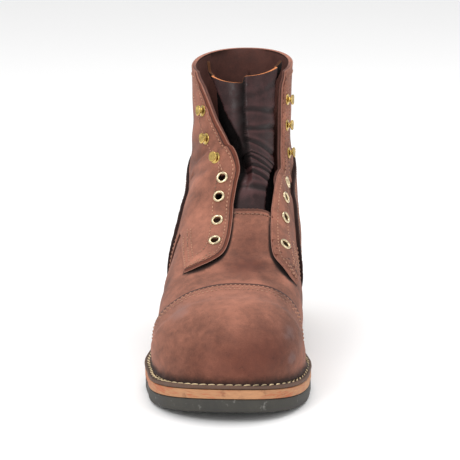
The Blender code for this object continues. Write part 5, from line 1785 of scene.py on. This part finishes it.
def sew(points, normals, pitch, length, thick, closed=False, slant=0.0):
    """Places, directions and sizes of the stitches along a line of points."""
    if closed:
        points = np.concatenate([points, points[:1]])
        normals = np.concatenate([normals, normals[:1]])
    run = run_along(points)
    count = max(int(round(run[-1] / pitch)), 1)
    middles = (np.arange(count) + 0.5) * run[-1] / count
    ahead = at_distances(points, run, np.minimum(middles + 0.5 * length, run[-1]))
    along = unit(ahead - at_distances(points, run, np.maximum(middles - 0.5 * length, 0.0)))
    up = at_distances(normals, run, middles)
    up = unit(up - along * (up * along).sum(axis=1, keepdims=True))
    along = along * math.cos(slant) + np.cross(up, along) * math.sin(slant)
    ends = np.arange(count + 1) * run[-1] / count
    centre, ends, end_up = (at_distances(*values) for values in (
        (points, run, middles), (points, run, ends), (normals, run, ends)))
    return centre, along, up, length, thick, ends, end_up


def repeated(blocks, shape):
    """Faces of one small shape repeated over blocks of its points."""
    faces = []
    first = 0
    for block in blocks:
        count, size = block.shape[:2]
        base = first + np.arange(count)[:, None] * size
        faces += [base + np.array(corners) for corners in shape]
        first += count * size
    return np.concatenate(faces)


def thread_object(name, blocks, faces, finish):
    """One mesh of many small shapes, with no solid of its own to stand for."""
    points = np.concatenate([block.reshape(-1, 3) for block in blocks])
    made = object_from(name, points, faces, None, finish)
    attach(made, "root")


def stitch_piece(name, seams, finish, rise):
    """All the stitches of some seams as one mesh of small rounded capsules."""
    sides = 6
    rings = (
        # place along the stitch, width, height
        (-0.5, 0.25, -0.55),
        (-0.36, 0.8, -0.1),
        (-0.15, 1.0, 0.12),
        (0.15, 1.0, 0.12),
        (0.36, 0.8, -0.1),
        (0.5, 0.25, -0.55),
    )
    blocks = []
    for centre, along, up, length, thick, _, _ in seams:
        beside = np.cross(up, along)
        radius = thick / 2
        block = []
        for place, wide, high in rings:
            for angle in 2.0 * np.pi * np.arange(sides) / sides:
                block.append(centre + along * place * length + beside * radius * wide * math.cos(angle)
                             + up * (radius * wide * 0.8 * math.sin(angle) + radius * high + rise))
        blocks.append(np.stack(block, axis=1))
    around = [(j, (j + 1) % sides) for j in range(sides)]
    starts = [k * sides for k in range(len(rings) - 1)]
    shape = [(k + j, k + n, k + sides + n, k + sides + j) for k in starts for j, n in around]
    faces = repeated(blocks, shape)
    last = starts[-1] + sides
    caps = repeated(blocks, [np.arange(sides)[::-1], last + np.arange(sides)])
    first = blocks[0].reshape(-1, 3)
    a, b, c = first[faces[0, 0]], first[faces[0, 1]], first[faces[0, 2]]
    middle = first[:sides * len(rings)].mean(axis=0)
    if np.dot(np.cross(b - a, c - a), a - middle) < 0.0:
        faces = faces[:, ::-1]
        caps = caps[:, ::-1]
    thread_object(name, blocks, [faces, caps], finish)


def hole_piece(name, seams, radius, rise):
    """The awl holes at the stitches' ends as small dark dimples."""
    sides = 7
    blocks = []
    for _, _, _, _, _, ends, up in seams:
        side = unit(np.cross(up, np.array([0.31, 0.74, 0.59])))
        other = np.cross(up, side)
        block = [ends + up * (rise + 0.05)]
        for angle in 2.0 * np.pi * np.arange(sides) / sides:
            out = side * math.cos(angle) + other * math.sin(angle)
            block.append(ends + out * radius + up * (rise - 0.25))
        blocks.append(np.stack(block, axis=1))
    faces = repeated(blocks, [(0, 1 + k, 1 + (k + 1) % sides) for k in range(sides)])
    thread_object(name, blocks, [faces], "Awl holes")


def sole_row(inset):
    """A closed line on the turned-out edge at a distance inside its rim."""
    loop, outward, width = last_edge(900)
    station = SOLE_LENGTH / 2 - loop[:, 1]
    merged = ease((station - 262.0) / 22.0) if inset > 3.0 else np.zeros(len(loop))
    gap = inset - (inset - 3.9) * merged
    line = loop + outward * (width - gap)[:, None]
    line[:, 2] = flange_at(line[:, 1]) - 0.12
    return line, np.tile([0.0, 0.0, 1.0], (len(line), 1))


def make_stitches():
    """Every stitched seam: sole edge, cap, flaps, facings, counter, throat and collar."""
    settings = bpy.context.scene.boot
    pitch, thick = settings.stitch_pitch / MM, settings.thread_width / MM
    sole_pitch, sole_thick = settings.sole_pitch / MM, settings.sole_thread_width / MM
    sole_sizes = (sole_pitch, 0.94 * sole_pitch, sole_thick, True, 0.34)
    rows = [sew(*sole_row(inset), *sole_sizes) for inset in (2.7, 5.4)]
    stitch_piece("sole_stitches", rows, "Sole thread", 0.22)
    hole_piece("sole_awl_holes", rows, 0.95, 0.1)
    seams = []

    def stitch(line, height, share=0.6):
        """Sew a line of the flat map at a height over the last."""
        points, normal, _ = leather_points(line, height(line))
        seams.append(sew(points, normal, pitch, share * pitch, thick))

    trimmed = line_through(CAP_EDGE, 1.5)[4:-4]
    for distance in (3.0, 6.4, 9.7):
        line = moved_in(trimmed, distance)
        if line[len(line) // 2, 0] > trimmed[len(trimmed) // 2, 0]:
            line = moved_in(trimmed, -distance)
        stitch(line, cap_height, 0.55)
    for column, side in SIDES:
        front, _, flap, facing = flap_lines(column, 1.5)
        whole = raised_edge(column, 1.5)
        stitch(moved_in(whole, -3.7 * side)[1:-2], quarter_height)
        stitch(moved_in(whole[int(0.22 * len(flap)):], -13.0 * side)[3:-3], quarter_height)
        stitch(moved_in(whole[:int(0.55 * len(flap))], -6.2 * side)[2:-2], quarter_height)
        for low_row, share, high_row in ((5.55, 0.335, 6.9), (5.5, 0.36, 7.0), (5.35, 0.39, 6.8)):
            ends = [flat(low_row, share * side), flat(high_row, (share + 0.004) * side)]
            stitch(spaced(ends, 1.5), quarter_height)
        stitch(moved_in(front, -2.6 * side)[2:-1], quarter_height)
        collar = spaced([facing[-1], flat(COLLAR_ROW, side)], 1.5) - np.array([3.6, 0.0])
        stitch(collar[2:], quarter_height)
        counter = table_line(COUNTER_EDGE, column, 1.5)
        for distance in (3.9, 6.4):
            stitch(moved_in(counter, -distance * side)[2:-1], counter_height)
    throat = line_through(VAMP_BACK[4:8], 1.5) - np.array([2.8, 0.0])
    stitch(throat, vamp_height)
    stitch_piece("upper_stitches", seams, "Upper thread", 0.1)
    hole_piece("upper_awl_holes", seams, 0.5, 0.05)


def make_stage():
    """Pale floor, soft studio light and the camera at the photo's angle."""
    settings = bpy.context.scene.boot
    bpy.ops.object.select_all(action="DESELECT")
    bpy.ops.mesh.primitive_circle_add(vertices=96, radius=9.0, fill_type="NGON", location=(0.0, 0.0, 0.0))
    floor = bpy.context.active_object
    floor.name = "floor"
    made, tree, shader = fresh_material("Pale floor")
    cloud = noise(tree, object_coords(tree), 3.0)
    face = blend(tree, cloud, tuple(settings.floor), scaled(settings.floor, 0.99))
    tree.links.new(face, shader.inputs["Base Color"])
    shader.inputs["Roughness"].default_value = 0.9
    shader.inputs["Specular IOR Level"].default_value = 0.1
    floor.data.materials.append(made)
    world = bpy.data.worlds.new("Studio") if bpy.context.scene.world is None else bpy.context.scene.world
    bpy.context.scene.world = world
    world.use_nodes = True
    sky = world.node_tree.nodes.get("Background") or add(world.node_tree, "ShaderNodeBackground")
    sky.inputs["Color"].default_value = (1.0, 1.0, 1.0, 1.0)
    sky.inputs["Strength"].default_value = settings.sky_light
    lamps = (
        # name, place, aim, size, share of the power
        ("key_light", (-0.9, -1.3, 1.5), (0.0, -0.05, 0.06), 0.9, 1.0),
        ("fill_light", (1.5, -1.0, 1.0), (0.0, 0.0, 0.08), 1.2, 0.28),
        ("top_light", (0.1, 0.3, 1.7), (0.0, 0.0, 0.1), 1.3, 0.8),
    )
    for name, place, aim, size, share in lamps:
        lamp = bpy.data.lights.new(name, "AREA")
        lamp.shape = "DISK"
        lamp.size = size
        lamp.energy = settings.light_power * share
        body = bpy.data.objects.new(name, lamp)
        body.location = place
        body.rotation_euler = (Vector(aim) - Vector(place)).to_track_quat("-Z", "Y").to_euler()
        bpy.context.scene.collection.objects.link(body)
    turn, pitch = math.radians(PHOTO_TURN), math.radians(PHOTO_PITCH)
    camera = bpy.data.cameras.new("camera")
    camera.sensor_width = 36.0
    camera.lens = PHOTO_LENS * settings.zoom
    camera.clip_start = 0.05
    camera.clip_end = 50.0
    body = bpy.data.objects.new("camera", camera)
    body.location = PHOTO_PLACE
    look = Vector((-math.sin(turn) * math.cos(pitch), math.cos(turn) * math.cos(pitch), -math.sin(pitch)))
    level = look.to_track_quat("-Z", "Y")
    to_boot = Vector((0.0, 0.0, -1.0)).rotation_difference(Vector(BOOT_ASIDE))
    body.rotation_euler = (level @ to_boot).to_euler()
    bpy.context.scene.collection.objects.link(body)
    bpy.context.scene.camera = body
    bpy.context.scene.view_settings.view_transform = "Standard"
    bpy.context.scene.view_settings.look = "None"


# Add-on

def colour_setting(name, description, red, green, blue):
    """A colour that a user would change, from screen values of 0 to 255."""
    return bpy.props.FloatVectorProperty(
        name=name, description=description, subtype="COLOR", size=3, min=0.0, max=1.0,
        default=tone(red, green, blue))


def length_setting(name, description, default, low, precision=4):
    """A length that a user would change, in metres."""
    return bpy.props.FloatProperty(
        name=name, description=description, default=default, min=low, unit="LENGTH", precision=precision)


class BootSettings(bpy.types.PropertyGroup):
    """Sizes and colours of the boot that a user would change."""

    leather: colour_setting("Leather", "Colour of the roughout leather", 133, 87, 71)
    flange: colour_setting("Turned-out edge", "Colour of the leather turned out over the sole", 80, 58, 46)
    tongue: colour_setting("Tongue", "Colour of the tongue leather", 45, 26, 26)
    thread: colour_setting("Upper thread", "Colour of the fine thread", 184, 134, 108)
    sole_thread: colour_setting("Sole thread", "Colour of the thick thread by the sole", 238, 212, 168)
    midsole: colour_setting("Midsole", "Colour of the leather midsole", 180, 130, 92)
    rubber: colour_setting("Rubber", "Colour of the outsole and the heel's rubber", 58, 56, 51)
    brass: colour_setting("Brass", "Colour of the eyelets and hooks", 196, 166, 96)
    floor: bpy.props.FloatVectorProperty(
        name="Floor", description="Colour of the pale floor", subtype="COLOR", size=3,
        min=0.0, max=1.0, default=(0.97, 0.97, 0.97))
    stitch_pitch: length_setting("Stitch pitch", "Distance between the fine stitches", 0.0030, 0.001)
    thread_width: length_setting("Thread width", "Thickness of the fine thread", 0.00095, 0.0002, 5)
    sole_pitch: length_setting("Sole stitch pitch", "Distance between the sole stitches", 0.0057, 0.002)
    sole_thread_width: length_setting("Sole thread width", "Thickness of the sole thread", 0.00105, 0.0004)
    flap_lift: length_setting("Flap lift", "How far the unlaced flaps stand off the vamp", 0.0022, 0.0)
    crease_depth: bpy.props.FloatProperty(
        name="Crease depth", description="Depth of the creases against the drawn ones", default=1.0,
        min=0.0, max=2.0)
    nap: bpy.props.FloatProperty(
        name="Nap", description="Strength of the leather's nap", default=0.55, min=0.0, max=1.0)
    light_power: bpy.props.FloatProperty(
        name="Light power", description="Power of the main light", default=13.0, min=0.0, unit="POWER")
    sky_light: bpy.props.FloatProperty(
        name="Sky light", description="Brightness of the white surroundings", default=0.82, min=0.0)
    zoom: bpy.props.FloatProperty(
        name="Zoom", description="How close the camera frames the boot", default=1.03, min=0.5, max=2.0)


def step_operator(name, label, tip, build):
    """An operator that runs one building step."""

    def execute(self, context):
        build()
        return {"FINISHED"}

    parts = {"__doc__": tip, "bl_idname": f"boot.{name}", "bl_label": label, "execute": execute}
    return type(f"BOOT_OT_{name}", (bpy.types.Operator,), parts)


STEPS = (
    # name, label, tip, building step
    ("vamp", "Vamp", "Make the vamp", make_vamp),
    ("quarters", "Quarters", "Make the quarters with their flaps, facings and collar", make_quarters),
    ("flange", "Turned-out edge", "Make the edge of the upper that is turned out over the sole", make_flange),
    ("toe_cap", "Toe cap", "Make the toe cap", make_toe_cap),
    ("counter", "Heel counter", "Make the heel counter", make_counter),
    ("tongue", "Tongue", "Make the bellows tongue", make_tongue),
    ("insole", "Insole", "Make the insole", make_insole),
    ("sole", "Midsole and outsole", "Make the midsole and the outsole", make_sole),
    ("heel", "Heel", "Make the stacked heel", make_heel),
    ("eyelets", "Eyelets", "Set the eyelets", make_eyelets),
    ("hooks", "Speed hooks", "Set the speed hooks", make_hooks),
    ("stitches", "Stitches", "Sew every seam of the upper and the sole", make_stitches),
    ("stage", "Stage", "Set the floor, the light and the camera", make_stage),
)
OPERATORS = tuple(step_operator(*row) for row in STEPS)


class BOOT_PT_panel(bpy.types.Panel):
    """Sizes, colours and steps of the boot"""

    bl_idname = "BOOT_PT_panel"
    bl_label = "Ankle boot"
    bl_space_type = "VIEW_3D"
    bl_region_type = "UI"
    bl_category = "Boot"

    def draw(self, context):
        settings = context.scene.boot
        for name in settings.bl_rna.properties.keys():
            if name not in ("rna_type", "name"):
                self.layout.prop(settings, name)
        for operator in OPERATORS:
            self.layout.operator(operator.bl_idname)


CLASSES = (BootSettings, *OPERATORS, BOOT_PT_panel)


def register():
    """Register the settings, the operators and the panel."""
    for made in CLASSES:
        bpy.utils.register_class(made)
    bpy.types.Scene.boot = bpy.props.PointerProperty(type=BootSettings)


def unregister():
    """Take the settings, the operators and the panel away again."""
    del bpy.types.Scene.boot
    for made in reversed(CLASSES):
        bpy.utils.unregister_class(made)


def main():
    """Make the whole boot and its stage, and note the two sizes."""
    register()
    for operator in OPERATORS:
        family, step = operator.bl_idname.split(".")
        getattr(getattr(bpy.ops, family), step)()


if __name__ == "__main__":
    main()
